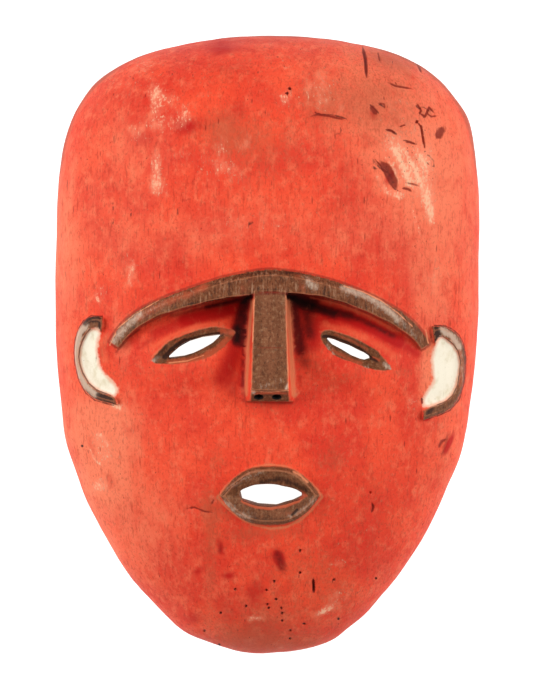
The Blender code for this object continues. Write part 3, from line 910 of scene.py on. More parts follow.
# What the finish's fields are drawn from. Soft spots: place, reach each way, turn, strength.
SPOTS = {
    "scuff": [
        (146, 68, 10, 9, 0, 0.5), (157, 98, 7, 20, 0, 1.0), (168, 101, 16, 9, 0, 0.6),
        (203, 97, 8, 5, 0, 0.7), (186, 116, 9, 12, 0, 0.8), (165, 126, 20, 12, 0, 0.7),
        (157, 170, 7, 20, 0, 1.0), (184, 158, 18, 8, 0, 0.5), (160, 190, 14, 9, 0, 0.7),
        (223, 148, 8, 12, 0, 0.6), (247, 146, 10, 18, -30, 0.5), (123, 89, 22, 16, 0, 0.5),
        (135, 134, 14, 14, 0, 0.5), (321, 83, 18, 12, 0, 0.5), (284, 101, 6, 7, 0, 1.0),
        (330, 108, 26, 10, -10, 0.4), (391, 146, 12, 12, 0, 0.7), (414, 168, 30, 22, -50, 0.6),
        (395, 195, 14, 9, 0, 0.6), (426, 200, 10, 20, 10, 0.7), (406, 172, 8, 22, 30, 0.6),
        (425, 160, 8, 18, 0, 0.6), (395, 110, 30, 24, 0, 0.35), (420, 130, 16, 12, 0, 0.4),
        (103, 290, 10, 8, 0, 0.5), (98, 299, 5, 10, -40, 0.6), (133, 273, 6, 18, 0, 0.5),
        (120, 406, 10, 5, 0, 0.8), (429, 214, 5, 18, 8, 0.7), (436, 262, 10, 16, 0, 0.4),
        (428, 285, 8, 14, 0, 0.4), (98, 439, 9, 12, 30, 0.7), (106, 456, 10, 12, -40, 0.7),
        (101, 486, 11, 9, 0, 1.0), (124, 432, 16, 22, 0, 0.4), (193, 511, 10, 3, 0, 0.5),
        (214, 497, 4, 6, 0, 0.7), (252, 617, 16, 5, 10, 0.5), (277, 642, 16, 8, 0, 0.35),
        (337, 561, 12, 6, 20, 0.6), (324, 609, 12, 6, 40, 0.9), (339, 595, 12, 12, 0, 0.5),
        (370, 532, 10, 10, 0, 0.5), (435, 425, 10, 8, 0, 0.5), (412, 400, 8, 8, 0, 0.7),
        (230, 232, 30, 18, 0, 0.35), (280, 226, 8, 4, 0, 0.4), (70, 330, 5, 60, 0, 0.25),
        (440, 310, 8, 40, 5, 0.3), (250, 185, 26, 14, 0, 0.3), (360, 400, 18, 12, 0, 0.2),
        (210, 165, 22, 14, 0, 0.4), (226, 172, 18, 10, 0, 0.4), (285, 68, 14, 8, 0, 0.35),
        (308, 96, 34, 14, 0, 0.35), (262, 222, 34, 12, 0, 0.3), (120, 262, 20, 12, 0, 0.35),
        (190, 84, 12, 8, 0, 0.4), (140, 60, 14, 8, 0, 0.4),
    ],
    "torn": [
        (405, 150, 22, 18, 0, 1.0), (428, 130, 14, 14, 0, 1.0), (395, 178, 18, 14, 0, 0.8),
        (378, 112, 12, 10, 0, 0.6), (424, 178, 14, 16, 0, 0.7), (330, 118, 30, 8, 0, 0.3),
    ],
    "faded": [
        (108, 440, 34, 40, 0, 0.9), (104, 486, 24, 20, 0, 0.7), (110, 250, 50, 80, 0, 0.25),
        (435, 230, 40, 90, 0, 0.5), (130, 150, 40, 50, 0, 0.4), (250, 150, 120, 80, 0, 0.2),
        (380, 110, 60, 60, 0, 0.5), (412, 170, 50, 60, 0, 0.7), (80, 540, 40, 60, 0, 0.4),
        (330, 80, 60, 30, 0, 0.3), (440, 430, 30, 60, 0, 0.3), (122, 340, 8, 24, 10, 0.8),
        (426, 370, 8, 30, 0, 0.8), (430, 300, 20, 40, 0, 0.4), (250, 440, 60, 16, 0, 0.15),
        (190, 243, 90, 28, 0, 0.4), (350, 240, 50, 30, 0, 0.35), (158, 515, 40, 60, -25, 0.5),
        (66, 260, 14, 90, 0, 0.45), (100, 420, 40, 34, 0, 0.55), (240, 575, 60, 40, 0, 0.2),
        (376, 390, 40, 40, 0, 0.15), (262, 215, 60, 30, 0, 0.2),
    ],
    # Dirt on the chin and forehead, and painted shade under the nose, under the lower lip and below
    # the eyes.
    "grime": [
        (242, 634, 50, 20, 0, 0.6), (330, 600, 60, 50, 30, 0.5), (370, 500, 40, 50, 0, 0.35),
        (211, 540, 8, 60, 0, 0.7), (217, 458, 8, 14, 0, 0.4), (332, 455, 14, 18, 0, 0.5),
        (102, 78, 22, 8, 40, 0.6), (390, 60, 34, 10, -14, 0.7), (340, 210, 20, 16, 0, 0.35),
        (225, 512, 16, 10, 0, 0.6), (320, 510, 14, 12, 0, 0.4), (268, 408, 30, 8, 0, 0.4),
        (275, 463, 50, 4, 0, 0.4), (120, 372, 26, 12, 0, 0.3), (440, 470, 18, 40, -20, 0.3),
        (280, 644, 70, 10, 0, 0.5), (300, 150, 30, 30, 0, 0.2), (222, 128, 26, 26, 0, 0.5),
        (270, 530, 40, 6, 0, 0.7), (315, 100, 24, 20, 0, 0.4), (380, 90, 50, 40, 0, 0.4),
        (232, 140, 34, 22, 0, 0.45), (262, 155, 34, 40, 0, 0.4), (230, 72, 34, 20, 0, 0.3),
        (348, 108, 40, 34, 0, 0.45), (395, 122, 34, 32, 0, 0.4), (352, 168, 24, 20, 0, 0.3),
        (310, 365, 20, 18, 0, 0.6), (345, 378, 34, 8, 25, 0.5), (398, 372, 12, 5, 0, 0.6),
        (170, 372, 24, 6, 0, 0.4), (240, 538, 24, 10, 0, 0.5), (205, 505, 12, 16, 0, 0.4),
        (262, 610, 30, 40, 0, 0.35), (300, 560, 30, 20, 0, 0.3),
    ],
    "deep_red": [
        (279, 558, 5, 9, 20, 1.8), (221, 546, 4, 12, 20, 0.9), (199, 569, 10, 5, 35, 0.7),
        (228, 574, 8, 4, 0, 0.8), (193, 618, 14, 8, 0, 0.6), (257, 591, 12, 16, 0, 0.6),
        (223, 50, 22, 9, 0, 0.8), (238, 111, 14, 14, 0, 0.5), (143, 140, 12, 10, 0, 0.7),
        (186, 128, 16, 10, 0, 0.8), (355, 474, 8, 14, 0, 0.5), (448, 444, 3, 14, -25, 1.3),
        (340, 165, 26, 20, 0, 0.3), (180, 250, 60, 40, 0, 0.25), (420, 330, 8, 14, 30, 0.3),
        (228, 610, 18, 26, 0, 0.6), (275, 40, 60, 8, 0, 0.5), (310, 580, 20, 10, 0, 0.3),
        (372, 117, 5, 7, 40, 0.8), (389, 178, 4, 14, -35, 0.9), (320, 118, 16, 5, 0, 0.5),
        (90, 325, 6, 5, 0, 1.2), (425, 418, 5, 3, 0, 1.2), (240, 250, 30, 10, 0, 0.3),
    ],
}
# Soft strokes: the points of a line, its reach and its strength.
STROKES = {
    "scratches": [
        (((393, 150), (402, 168), (408, 186)), 2.2, 0.9),
        (((402, 150), (412, 168), (420, 186)), 1.6, 0.8), (((414, 150), (424, 166)), 2.0, 0.5),
        (((411, 206), (414.5, 220), (419, 236)), 1.1, 1.1),
        (((376, 178), (384, 192), (398, 198)), 2.4, 0.8),
        (((384, 158), (392, 170), (398, 184)), 1.4, 0.8),
        (((409.6, 207), (412, 218), (414.2, 232)), 0.9, 1.0),
        (((424, 188), (428, 204), (431, 222)), 2.4, 0.45),
        (((91, 449), (95, 458), (101, 464)), 1.2, 0.9),
        (((98.5, 433), (104, 436), (108.7, 444)), 1.2, 0.8), (((114, 405), (124, 408)), 2.0, 0.8),
        (((320, 612), (331, 606)), 1.6, 0.9), (((95, 292), (101, 303)), 1.2, 0.8),
        (((136, 262), (130, 276), (132, 288)), 1.6, 0.6), (((262, 617), (246, 616)), 1.4, 0.5),
    ],
    # Painted shade: deep red in the sockets under the brow and beside the nose, partly a deeper red
    # paint.
    "crimson": [
        (((248, 318), (243, 345), (241, 385)), 4.5, 0.9),
        (((239, 342), (233, 358), (224, 378)), 13, 1.0),
        (((238, 309), (208, 315), (185, 321)), 7.5, 1.4), (((185, 321), (154, 334)), 5.5, 0.85),
        (((240, 372), (232, 392)), 6, 0.6), (((200, 320), (165, 333), (140, 347)), 4, 0.7),
        (((325, 312), (350, 319), (372, 328), (398, 342)), 6.5, 1.7),
        (((398, 342), (416, 354)), 5.5, 0.9), (((225, 306), (190, 314)), 5, 0.7),
        (((334, 320), (316, 322), (312, 345)), 10, 0.9), (((296, 365), (300, 385)), 4, 0.5),
        (((240, 300), (238, 335)), 11, 0.9), (((300, 300), (303, 345)), 12, 0.8),
        (((121, 352), (140, 338)), 4, 0.5),
    ],
    # Painted shade: near black under the brow, beside the nose root and under the nose's base; the
    # few strokes on the chin and jaw are dark stains.
    "soot": [
        (((251, 295), (242, 299.5), (230, 302.5), (207, 307.5)), 2.8, 0.85),
        (((207, 307.5), (172, 316)), 2.2, 0.5), (((250, 296), (243, 303)), 4.0, 1.5),
        (((246, 300), (240.5, 318), (238.5, 333)), 6.0, 1.1),
        (((238.5, 328), (238, 340)), 6.0, 1.5), (((246, 302), (244, 345)), 3.0, 1.1),
        (((244, 345), (243, 388)), 2.4, 0.6), (((289, 298), (300, 302), (312, 306)), 7.5, 1.6),
        (((305, 304), (320, 309), (334, 314)), 5.0, 1.3), (((330, 311), (350, 316.5)), 5.0, 0.9),
        (((345, 314.5), (362, 321), (392, 336)), 3.4, 0.7),
        (((293, 305), (297, 330), (300, 350)), 8.0, 0.85), (((306, 312), (309, 334)), 8.0, 0.7),
        (((297, 350), (304, 362)), 8.0, 0.5), (((245, 390), (244, 401), (292, 402.5)), 2.2, 0.45),
        (((117.5, 352), (127, 339), (140, 330)), 1.4, 0.5),
        (((277.5, 552), (282.5, 567)), 5.0, 0.6), (((448, 432), (441, 455)), 2.0, 0.45),
        (((222, 541), (220, 551)), 3.0, 0.4),
    ],
    "lit": [
        (((154, 347), (172, 336), (189, 329), (205, 325), (222, 323.5)), 2.6, 0.7),
        (((324, 325), (350, 331.5), (375, 343.5), (394, 357)), 4.4, 0.55),
        (((310, 297.5), (340, 305), (370, 317), (393, 331)), 1.7, 0.6),
        (((172, 316), (190, 310)), 1.5, 0.4), (((160, 368), (185, 369), (210, 362)), 3.0, 0.35),
    ],
    # Worn pale brown paint edges round the lips, eyes and brow; the first two strokes are painted
    # light on the nose's flanks.
    "tan": [
        (((252.3, 302), (248.6, 342), (246.4, 394)), 2.0, 1.0),
        (((287.8, 302), (290.5, 345), (293.3, 394)), 2.6, 1.2),
        (((218, 496), (229, 482.5), (241, 472.5), (255, 466), (270, 463.8), (284, 465.2),
          (297, 471), (311, 482), (321.5, 495)), 1.8, 0.9),
        (((218, 496), (228, 507), (240, 516), (255, 523.5), (270, 527), (286, 525.5), (300, 518.5),
          (311, 509), (321.5, 496)), 1.6, 0.9),
        (((186, 364), (207, 358.5), (222, 350)), 1.6, 0.3),
        (((153, 357), (168, 342), (185, 333), (205, 328), (224, 326.5)), 1.6, 0.6),
        (((320, 332), (332, 330.5), (350, 337), (372, 350), (386, 362)), 1.6, 0.5),
        (((128, 322), (150, 305), (180, 290)), 1.6, 0.3),
        (((350, 286), (385, 301), (415, 325)), 1.8, 0.5),
        (((108, 335), (104, 345), (106, 358)), 5.0, 0.5), (((432, 345), (426, 352)), 3.0, 0.5),
    ],
    # Dark wood, and painted shade in the left eye slit's bevel and along the brow's edges.
    "dark_wood": [
        (((166, 356.5), (172, 350.5), (178.5, 345.5), (186, 340.5)), 2.6, 2.0),
        (((186, 340.5), (205, 335.3), (220, 333)), 1.4, 1.3), (((157, 358), (166, 347)), 4, 0.8),
        (((168, 341), (182, 335), (203, 331)), 3.2, 0.6), (((221.5, 336), (224, 334)), 1.5, 1.0),
        (((323, 336.5), (328, 336.2), (345, 342), (360, 349.3), (370.5, 357.5)), 1.6, 1.7),
        (((370, 358), (376, 361)), 1.8, 1.3), (((345, 336), (365, 346)), 2.5, 0.5),
        (((86, 322), (92, 319.5), (99, 319), (103, 321)), 4.5, 1.3),
        (((101.5, 324), (102, 333)), 2.4, 1.5),
        (((100, 395.5), (107, 397.5), (115, 401)), 3.8, 1.4), (((104, 392), (106, 393.5)), 2, 1.4),
        (((433.5, 328), (436, 333), (434.5, 342)), 4.2, 1.7), (((431, 408), (424, 415)), 4.0, 1.0),
        (((462, 345), (464, 365), (463, 385), (458, 398)), 1.8, 0.8),
        (((440, 409), (452, 401)), 4, 0.5),
        (((262, 481), (280, 477.5), (295, 483), (306, 489)), 4.0, 0.9),
        (((252, 517), (285, 518)), 4.5, 0.7),
        (((232, 503), (250, 513), (270, 515), (290, 511)), 5.0, 0.45),
        (((292, 513), (297, 508)), 1.6, 1.4), (((228, 489), (244, 481)), 2.4, 0.6),
        (((185, 306), (205, 302.5), (230, 298)), 2.4, 0.8), (((255, 290), (285, 290)), 2.0, 0.6),
        (((325, 296), (350, 305), (372, 316)), 1.8, 0.9),
        (((238, 276), (265, 273), (300, 273.5)), 3.4, 0.7), (((160, 308), (130, 330)), 2.0, 0.6),
        (((333, 283), (327, 293)), 7, 0.5), (((256, 350), (287, 351)), 1.6, 0.4),
        (((262, 394), (280, 394)), 2.0, 0.5), (((418, 331), (424, 343)), 3, 0.5),
        (((245, 300), (250, 294)), 2.0, 1.0),
    ],
    "warm_wood": [
        (((170, 363), (190, 361), (206, 356), (219, 348), (228, 339)), 4.0, 1.1),
        (((222, 331), (232, 333)), 4.5, 1.0), (((176, 342), (196, 333), (214, 329)), 1.6, 0.5),
        (((331, 350), (345, 357), (360, 363.5)), 2.6, 0.9),
        (((334, 334), (350, 340.5), (366, 349)), 1.8, 0.7), (((371, 357), (378, 360)), 1.6, 1.2),
        (((243, 499.5), (256, 505.3), (270, 506.8), (285, 504.3), (298, 499.3),
          (304, 494)), 1.7, 1.7),
        (((301, 490), (305, 494)), 2.2, 1.2), (((298, 276), (302, 290)), 6, 0.4),
        (((250, 282), (240, 296)), 8, 0.3), (((254, 392.5), (286, 392.5)), 1.5, 1.0),
        (((79, 335), (78, 358), (85, 384)), 2.5, 0.7),
        (((446, 333), (458, 346), (462, 362), (460, 385)), 3.0, 0.7),
        (((205, 288), (165, 304), (140, 318)), 5, 0.75), (((120, 330), (116, 344)), 4, 0.4),
        (((230, 489), (247, 473), (262, 469)), 2.0, 0.4), (((277, 512), (300, 511)), 2.5, 0.4),
    ],
    "pale_wood": [
        (((112, 344), (119, 336), (129, 325), (142, 315)), 5.0, 0.9),
        (((142, 315), (165, 304)), 4.5, 0.35),
        (((343, 289), (362, 295), (380, 305), (398, 320)), 4.6, 1.0),
        (((398, 320), (414, 336)), 4.0, 0.5), (((308, 282), (314, 288)), 5.0, 0.8),
        (((87, 325), (80.5, 334), (78, 345), (77.5, 357)), 3.6, 1.5),
        (((78.5, 360), (81, 374), (87, 386), (97, 394.5)), 3.4, 1.5),
        (((440, 330), (451, 336.5), (458, 347)), 3.6, 1.3), (((461, 352), (461.5, 380)), 2.2, 0.5),
        (((228, 487), (245, 476.5), (262, 471)), 3.4, 0.45),
        (((226, 501), (238, 511), (250, 516.5)), 4.0, 0.7),
        (((290, 515), (306, 505), (314, 498)), 3.2, 0.6), (((154, 360.5), (158, 357.5)), 3.0, 0.9),
        (((384, 364), (389, 368)), 3.2, 1.0), (((326, 346), (332, 353)), 3.0, 0.6),
        (((249.5, 391), (254, 391.5)), 1.8, 1.6), (((286, 388), (288.5, 383)), 1.6, 1.5),
        (((262, 388), (280, 380)), 5, 0.3), (((355, 365), (368, 367.5)), 2.4, 0.6),
    ],
}
# Fine lines: the points of each and half its width.
FINE_LINES = {
    # Cracks and pores, and painted shade as dark lines round the ear rims, along the lips and the
    # left eye slit.
    "dark_line": [
        (((91.7, 328.8), (87, 334), (84, 340), (81, 348), (80, 356), (81, 364), (84, 373),
          (90, 383), (98, 389.8), (105, 392.3), (112, 395)), 0.9),
        (((104, 316.5), (92.5, 315.6), (84.5, 321), (79, 329.5), (76, 340), (75, 352), (76, 365),
          (80, 381), (87, 393), (96, 400), (104, 402.3), (115, 405)), 0.7),
        (((436.5, 337), (441, 336), (446, 339.3), (452, 344), (457, 351), (459.5, 361),
          (458.6, 373), (456.5, 385), (452, 394.5), (445, 401), (436, 404.4)), 0.7),
        (((433, 325.5), (444, 326), (451, 329), (458, 335), (462.5, 343), (465, 356), (465, 370),
          (463, 384), (458.5, 399), (449, 410), (438, 415), (428, 418)), 0.9),
        (((221, 496), (232, 484.5), (246, 474.5)), 0.5),
        (((169, 358.6), (186, 355.9), (203.5, 349)), 0.5),
        (((243, 499), (256, 504), (270, 505.2), (285, 502.6), (299, 498)), 0.6),
        (((178.2, 199), (178.5, 216), (177.8, 234)), 1.0),
        (((114, 204), (114.4, 218), (113.8, 230)), 1.0), (((132, 207), (132.2, 217)), 1.0),
        (((249.5, 209), (249.2, 231)), 1.0), (((241, 212), (241.2, 222)), 0.4),
        (((253, 214), (253.2, 228)), 0.4), (((131, 227), (131.3, 240)), 0.5),
        (((293, 160), (292.8, 172)), 0.4), (((334, 135), (333.6, 150)), 1.0),
        (((347, 132), (347.3, 144)), 0.45), (((300, 43), (301, 62)), 0.5),
        (((392, 62), (391, 72)), 0.5), (((354, 54), (354.5, 68)), 0.5),
        (((68, 180), (68.4, 196)), 0.45), (((372, 165), (374, 172)), 0.5),
        (((366, 168), (369, 176)), 0.5), (((66, 270), (66, 290)), 0.4),
        (((97, 352), (97.6, 366)), 0.5), (((208, 404), (208.5, 414)), 0.5),
        (((236, 330), (237, 344)), 0.4), (((369.5, 107), (378.5, 115.6)), 1.1),
        (((376, 108.7), (379.7, 106.2), (383.6, 109.7)), 0.9),
        (((414.4, 107), (418, 110.5), (422, 108.7), (427, 111.3), (431, 115.6)), 1.0),
        (((418, 114.4), (422, 117), (423.3, 120.8), (420.3, 124.6)), 1.0),
        (((399, 128.5), (404, 127)), 1.0), (((385, 131.8), (390, 132.3), (395, 136.2)), 1.1),
        (((402.8, 142), (408, 143), (413, 145)), 1.0),
        (((413, 157), (423.3, 163), (433.6, 168.2)), 0.9),
        (((423.3, 152.8), (429.7, 158), (433.6, 163)), 0.9), (((363, 163), (366.4, 169.5)), 0.9),
        (((366, 164), (369, 171)), 0.9), (((372, 161.8), (378.5, 169.5), (386, 174)), 1.2),
        (((340, 129.7), (340.5, 138.7)), 0.9),
        (((314.4, 114.4), (320.8, 117), (332.3, 117), (347.7, 121.5)), 1.0),
        (((289.5, 89), (289.8, 93)), 1.3), (((286.9, 94), (286.9, 97.5)), 1.2),
    ],
    "light_line": [
        (((293.5, 470.5), (299.5, 473.5), (307, 480.5)), 1.7),
        (((254.3, 300), (253.6, 320), (252.8, 342)), 0.8),
        (((285.8, 296), (287, 345), (288.4, 388)), 0.6),
        (((252, 390.6), (270, 391.4), (288.5, 389.8)), 0.7),
        (((343, 286.5), (362, 292.3), (380, 301), (397, 313.5), (411, 326.5)), 0.8),
        (((118, 329), (137, 313.8), (160, 300.6)), 0.6), (((111, 345), (117, 333)), 1.2),
        (((170, 362.6), (188, 360.6), (204, 355.2)), 0.8), (((427, 343), (424.5, 330)), 0.8),
    ],
}

x, y = place.T[:2]
inside = inside_share(place, facing)
bare = np.max([outline_depth(x, y, outline) for outline in CARVED_OUTLINES], axis=0)
clay = np.max([outline_depth(x, y, outline) for outline in CLAY_SHAPES], axis=0)
holes = np.min([np.hypot(x - a, y - b) for a, b in WORM_HOLES], axis=0)
nostrils = np.min([np.hypot((x - NOSTRILS_X - side * NOSTRIL_SPACING / 2) / NOSTRIL_HALF[0],
                            (y - NOSTRILS_Y) / NOSTRIL_HALF[1]) for side in (-1, 1)], axis=0)
brow_depth = outline_depth(x, y, CARVED_OUTLINES[0])
lips_depth = outline_depth(x, y, CARVED_OUTLINES[2])
drawn = {name: spread(x, y, spots) for name, spots in SPOTS.items()}
drawn.update((name, strokes(x, y, lines)) for name, lines in STROKES.items())
drawn.update((name, nearest_line(x, y, lines)) for name, lines in FINE_LINES.items())
drawn["scuff"] = np.minimum(drawn["scuff"], MOST_SCUFFED) + drawn.pop("scratches")
drawn["faded"] += 0.25 * smooth(0.45, 0.95, level(x, y, 0.0))
drawn.update({
    "bare": bare,
    "clay": clay,
    "crest": np.clip(ridges(mask.data, place, facing) / SHARPEST_CREST, -1.0, 1.0),
    "cut": cut_depth(x, y) * 1000 * (1 - inside),
    # Painted shade filling the bored worm holes.
    "worm": (1 - smooth(WORM_RADIUS * 0.9, WORM_RADIUS * 1.5, holes)) * (1 - inside),
    # Painted shade filling the drilled nostrils.
    "nostril": (1 - smooth(0.8, 1.25, nostrils)) * (1 - inside),
    "scratched": np.where(brow_depth > -1, 1.0, np.where(lips_depth > -1, 0.45, 0.0)),
    # Painted shade, partly dirt, in the crease along the brow's foot.
    "brow_edge": np.exp(-((brow_depth + 0.5) / 0.9) ** 2) * (x < BROW_EDGE_END),
    # Painted shade: a dark band along the upper half of the outline, where the dome turns away.
    "edge": level(x, y, 0.0) * (1 - inside) * smooth(-0.05, 0.10, y),
})
for name, values in drawn.items():
    store(mask.data, name, values)


def lay_coats(tree, fields, laid, coats):
    """Coats over one another, each where its own mix of fields runs from low to high."""
    for mix, low, high, most, coat in coats:
        total = 0.0
        for name, weight in mix.items():
            total = add(tree, "ShaderNodeMath", {0: fields[name], 1: weight, 2: total},
                        operation="MULTIPLY_ADD")
        amount = add(tree, "ShaderNodeMapRange", {"Value": total, "From Min": low, "From Max": high,
                                                  "To Max": most}, interpolation_type="SMOOTHSTEP")
        over = coat if isinstance(coat, bpy.types.NodeSocket) else colour(coat)
        laid = add(tree, "ShaderNodeMix", {0: amount, 6: laid, 7: over},
                   data_type="RGBA").outputs[2]
    return laid


# Earth-red paint: ochre and oil rubbed thin on planed wood, so it is matt, follows the grain
# and lets dark pores through. Beside it lie bare handled wood and chalky white clay.
red_paint.use_nodes = True
tree = red_paint.node_tree
skin = tree.nodes["Principled BSDF"]
where = add(tree, "ShaderNodeTexCoord").outputs["Object"]
fields = {}
# Noises: how each is stretched along the grain, which runs up the mask, and its size in metres.
for name, grain, size, detail, roughness in (
        ("cloud", (1, 1, 1), 0.034, 5.0, 0.55), ("patch", (1, 1, 1), 0.011, 6.0, 0.6),
        ("mottle", (1, 0.7, 1), 0.005, 4.0, 0.6), ("speck", (1, 1, 1), 0.0022, 5.0, 0.65),
        ("tooth", (1, 0.6, 1), 0.0010, 2.0, 0.6), ("fibre", (1, 0.14, 0.5), 0.0011, 3.0, 0.6),
        ("streak", (1, 0.14, 0.5), 0.0045, 3.0, 0.55)):
    along = add(tree, "ShaderNodeMapping", {"Vector": where, "Scale": grain})
    fields[name] = add(tree, "ShaderNodeTexNoise",
                       {"Vector": along, "Scale": 1 / size, "Detail": detail,
                        "Roughness": roughness})
# Marks that lie scattered: open pores, pits, drying checks and pecks, each in some of its cells.
for name, grain, size, chosen, radius in (("pore", (1, 0.17, 0.6), 0.0034, 0.62, 0.13),
                                          ("pit", (1, 0.8, 1), 0.0046, 0.50, 0.09),
                                          ("check", (1, 0.1, 0.6), 0.0080, 0.70, 0.045),
                                          ("peck", (1, 1, 1), 0.0021, 0.40, 0.20)):
    along = add(tree, "ShaderNodeMapping", {"Vector": where, "Scale": grain})
    cells = add(tree, "ShaderNodeTexVoronoi", {"Vector": along, "Scale": 1 / size})
    lot = add(tree, "ShaderNodeSeparateColor", {0: cells.outputs["Color"]})
    here = add(tree, "ShaderNodeMapRange", {"Value": lot, "From Min": chosen,
                                            "From Max": chosen + 0.04})
    near = add(tree, "ShaderNodeMapRange", {"Value": cells.outputs["Distance"],
                                            "From Min": radius * 0.4, "From Max": radius,
                                            "To Min": 1.0, "To Max": 0.0})
    fields[name] = add(tree, "ShaderNodeMath", {0: here, 1: near}, operation="MULTIPLY")
for name in drawn:
    fields[name] = add(tree, "ShaderNodeAttribute", attribute_name=name).outputs["Fac"]

paint = lay_coats(tree, fields, colour("#DC3520"), [
    ({"cloud": 1.0}, 0.36, 0.64, 1.0, "#EF4C2C"),
    ({"faded": 1.0, "streak": 0.6, "mottle": 0.4}, 0.55, 1.6, 1.0, "#F57C58"),
    ({"patch": 1.0}, 0.50, 0.72, 0.45, "#CF2C1B"),
    ({"mottle": 1.0, "faded": 0.06}, 0.50, 0.72, 0.45, "#F2724E"),
    ({"speck": 1.0}, 0.52, 0.78, 0.3, "#F48A66"),
    ({"speck": -1.0}, -0.44, -0.28, 0.35, "#B82816"),
    ({"fibre": 1.0}, 0.53, 0.74, 0.55, "#AE2814"),
    ({"tooth": 1.0}, 0.52, 0.74, 0.35, "#96220F"),
    ({"deep_red": 1.0, "patch": 0.6}, 0.45, 1.25, 1.0, "#BE170E"),
    # Dirt, and painted shade under the nose and lower lip, browning the paint.
    ({"grime": 1.0, "streak": 0.7, "speck": 1.0, "tooth": 0.8}, 1.3, 2.35, 0.6, "#AE4E30"),
    ({"scuff": 1.0, "mottle": 1.4, "fibre": 0.8}, 1.35, 2.6, 0.6, "#F49A78"),
    ({"scuff": 0.7, "tooth": 2.0, "speck": 1.2, "fibre": 0.9}, 2.60, 3.25, 0.75, "#F4C09A"),
    ({"torn": 1.0, "peck": 1.0, "mottle": 0.5}, 1.35, 2.0, 0.8, "#7E2214"),
    ({"pore": 1.0}, 0.0, 1.0, 0.7, "#8A1C0C"),
    ({"pit": 1.0}, 0.0, 1.0, 0.7, "#86180F"),
    ({"check": 1.0}, 0.0, 1.0, 0.75, "#7A1C10"),
    # Painted shade in the sockets, partly a deeper red paint.
    ({"crimson": 1.0, "mottle": 0.5}, 0.3, 1.45, 0.95, "#B40402"),
    # Painted shade, with a few dark stains, in two coats from dark red to near black.
    ({"soot": 1.0, "speck": 0.4}, 0.25, 1.05, 0.97, "#640100"),
    ({"soot": 1.0, "speck": 0.6}, 0.8, 1.9, 0.95, "#120000"),
    ({"lit": 1.0, "mottle": 0.8, "fibre": 0.4}, 0.65, 1.5, 0.8, "#E8603C"),
    # Worn paint edges, and painted light on the nose's flanks.
    ({"tan": 1.0, "mottle": 0.8, "fibre": 0.5}, 0.7, 1.7, 0.9, "#D6764E"),
])
wood = lay_coats(tree, fields, colour("#6C3C22"), [
    ({"streak": 1.0}, 0.38, 0.62, 0.8, "#824C30"),
    ({"patch": 1.0}, 0.48, 0.72, 0.5, "#8E5838"),
    ({"scratched": 1.0, "mottle": 1.0}, 0.95, 1.9, 0.55, "#783A18"),
    ({"speck": 1.0}, 0.50, 0.72, 0.55, "#A27452"),
    ({"speck": -1.0, "mottle": -0.3}, -0.58, -0.42, 0.25, "#4C2A1A"),
    ({"tooth": 1.0}, 0.50, 0.70, 0.6, "#40200F"),
    ({"tooth": -1.0}, -0.44, -0.30, 0.25, "#A88460"),
    ({"fibre": 1.0, "scratched": 0.17}, 0.66, 0.84, 0.75, "#3A1E12"),
    ({"fibre": -1.0, "scratched": 0.17}, -0.28, -0.12, 0.65, "#AA8064"),
    ({"warm_wood": 1.0, "mottle": 0.9, "fibre": 0.8, "speck": 0.8}, 1.4, 2.4, 0.85, "#C05232"),
    ({"pale_wood": 1.0, "fibre": 1.2, "tooth": 1.0, "speck": 1.2}, 1.9, 3.0, 0.9, "#C8AC96"),
    # Dark wood, and painted shade in the eye bevel and along the brow.
    ({"dark_wood": 1.0, "speck": 1.4, "fibre": 0.8}, 1.35, 2.3, 0.88, "#28110A"),
])
chalk = lay_coats(tree, fields, colour("#F6ECD6"), [
    ({"mottle": 1.0}, 0.48, 0.74, 0.6, "#D6C59C"),
    ({"speck": 1.0}, 0.58, 0.80, 0.5, "#BDB08E"),
    ({"pit": 1.0}, 0.0, 1.0, 0.6, "#8C8468"),
    ({"clay": -1.0, "mottle": 1.5}, -1.2, 0.4, 0.7, "#EDA484"),
])
finish = lay_coats(tree, fields, paint, [
    ({"bare": 1.0, "speck": 1.6}, 0.45, 1.25, 1.0, wood),
    ({"clay": 1.0, "mottle": 2.6, "speck": 2.2}, 1.6, 3.0, 1.0, chalk),
    ({"crest": 1.0, "speck": 0.5}, 0.55, 1.0, 0.35, "#C67A54"),
    # Painted shade, partly dirt, in the crease round the brow.
    ({"brow_edge": 1.0, "speck": 0.8}, 0.7, 1.5, 0.6, "#6A2214"),
    # Cracks and pores, and painted shade round the ear rims, lips and eye slit.
    ({"dark_line": -1.0, "speck": 1.6, "mottle": 1.6}, 0.4, 1.5, 0.8, "#34100A"),
    ({"light_line": -1.0, "speck": 1.2, "mottle": 2.0}, 0.45, 1.5, 0.8, "#EC9468"),
    ({"cut": 1.0, "fibre": 0.4}, 0.3, 0.8, 0.85, "#7A1A0C"),
    # Painted shade: the deepest cuts darkened to near black.
    ({"cut": 1.0, "speck": 1.6}, 1.6, 2.7, 0.85, "#2C0703"),
    # Painted shade: the worm holes filled near black.
    ({"worm": 1.0}, 0.0, 1.0, 0.95, "#160504"),
    # Painted shade: the nostrils filled near black.
    ({"nostril": 1.0}, 0.0, 1.0, 1.0, "#070202"),
    # Painted shade along the upper outline, where the dome turns away.
    ({"edge": 1.0, "mottle": 0.03}, 0.965, 1.01, 0.6, "#8E3A22"),
])
tree.links.new(finish, skin.inputs["Base Color"])
skin.inputs["IOR"].default_value = 1.5
skin.inputs["Specular IOR Level"].default_value = 0.2
rough = add(tree, "ShaderNodeMath", {0: fields["patch"], 1: 0.25, 2: 0.55},
            operation="MULTIPLY_ADD")
tree.links.new(rough.outputs[0], skin.inputs["Roughness"])
height = 0.0
for name, weight in (("speck", 0.5), ("tooth", 0.3), ("fibre", 0.45), ("mottle", 1.0),
                     ("pore", -0.8)):
    height = add(tree, "ShaderNodeMath", {0: fields[name], 1: weight, 2: height},
                 operation="MULTIPLY_ADD")
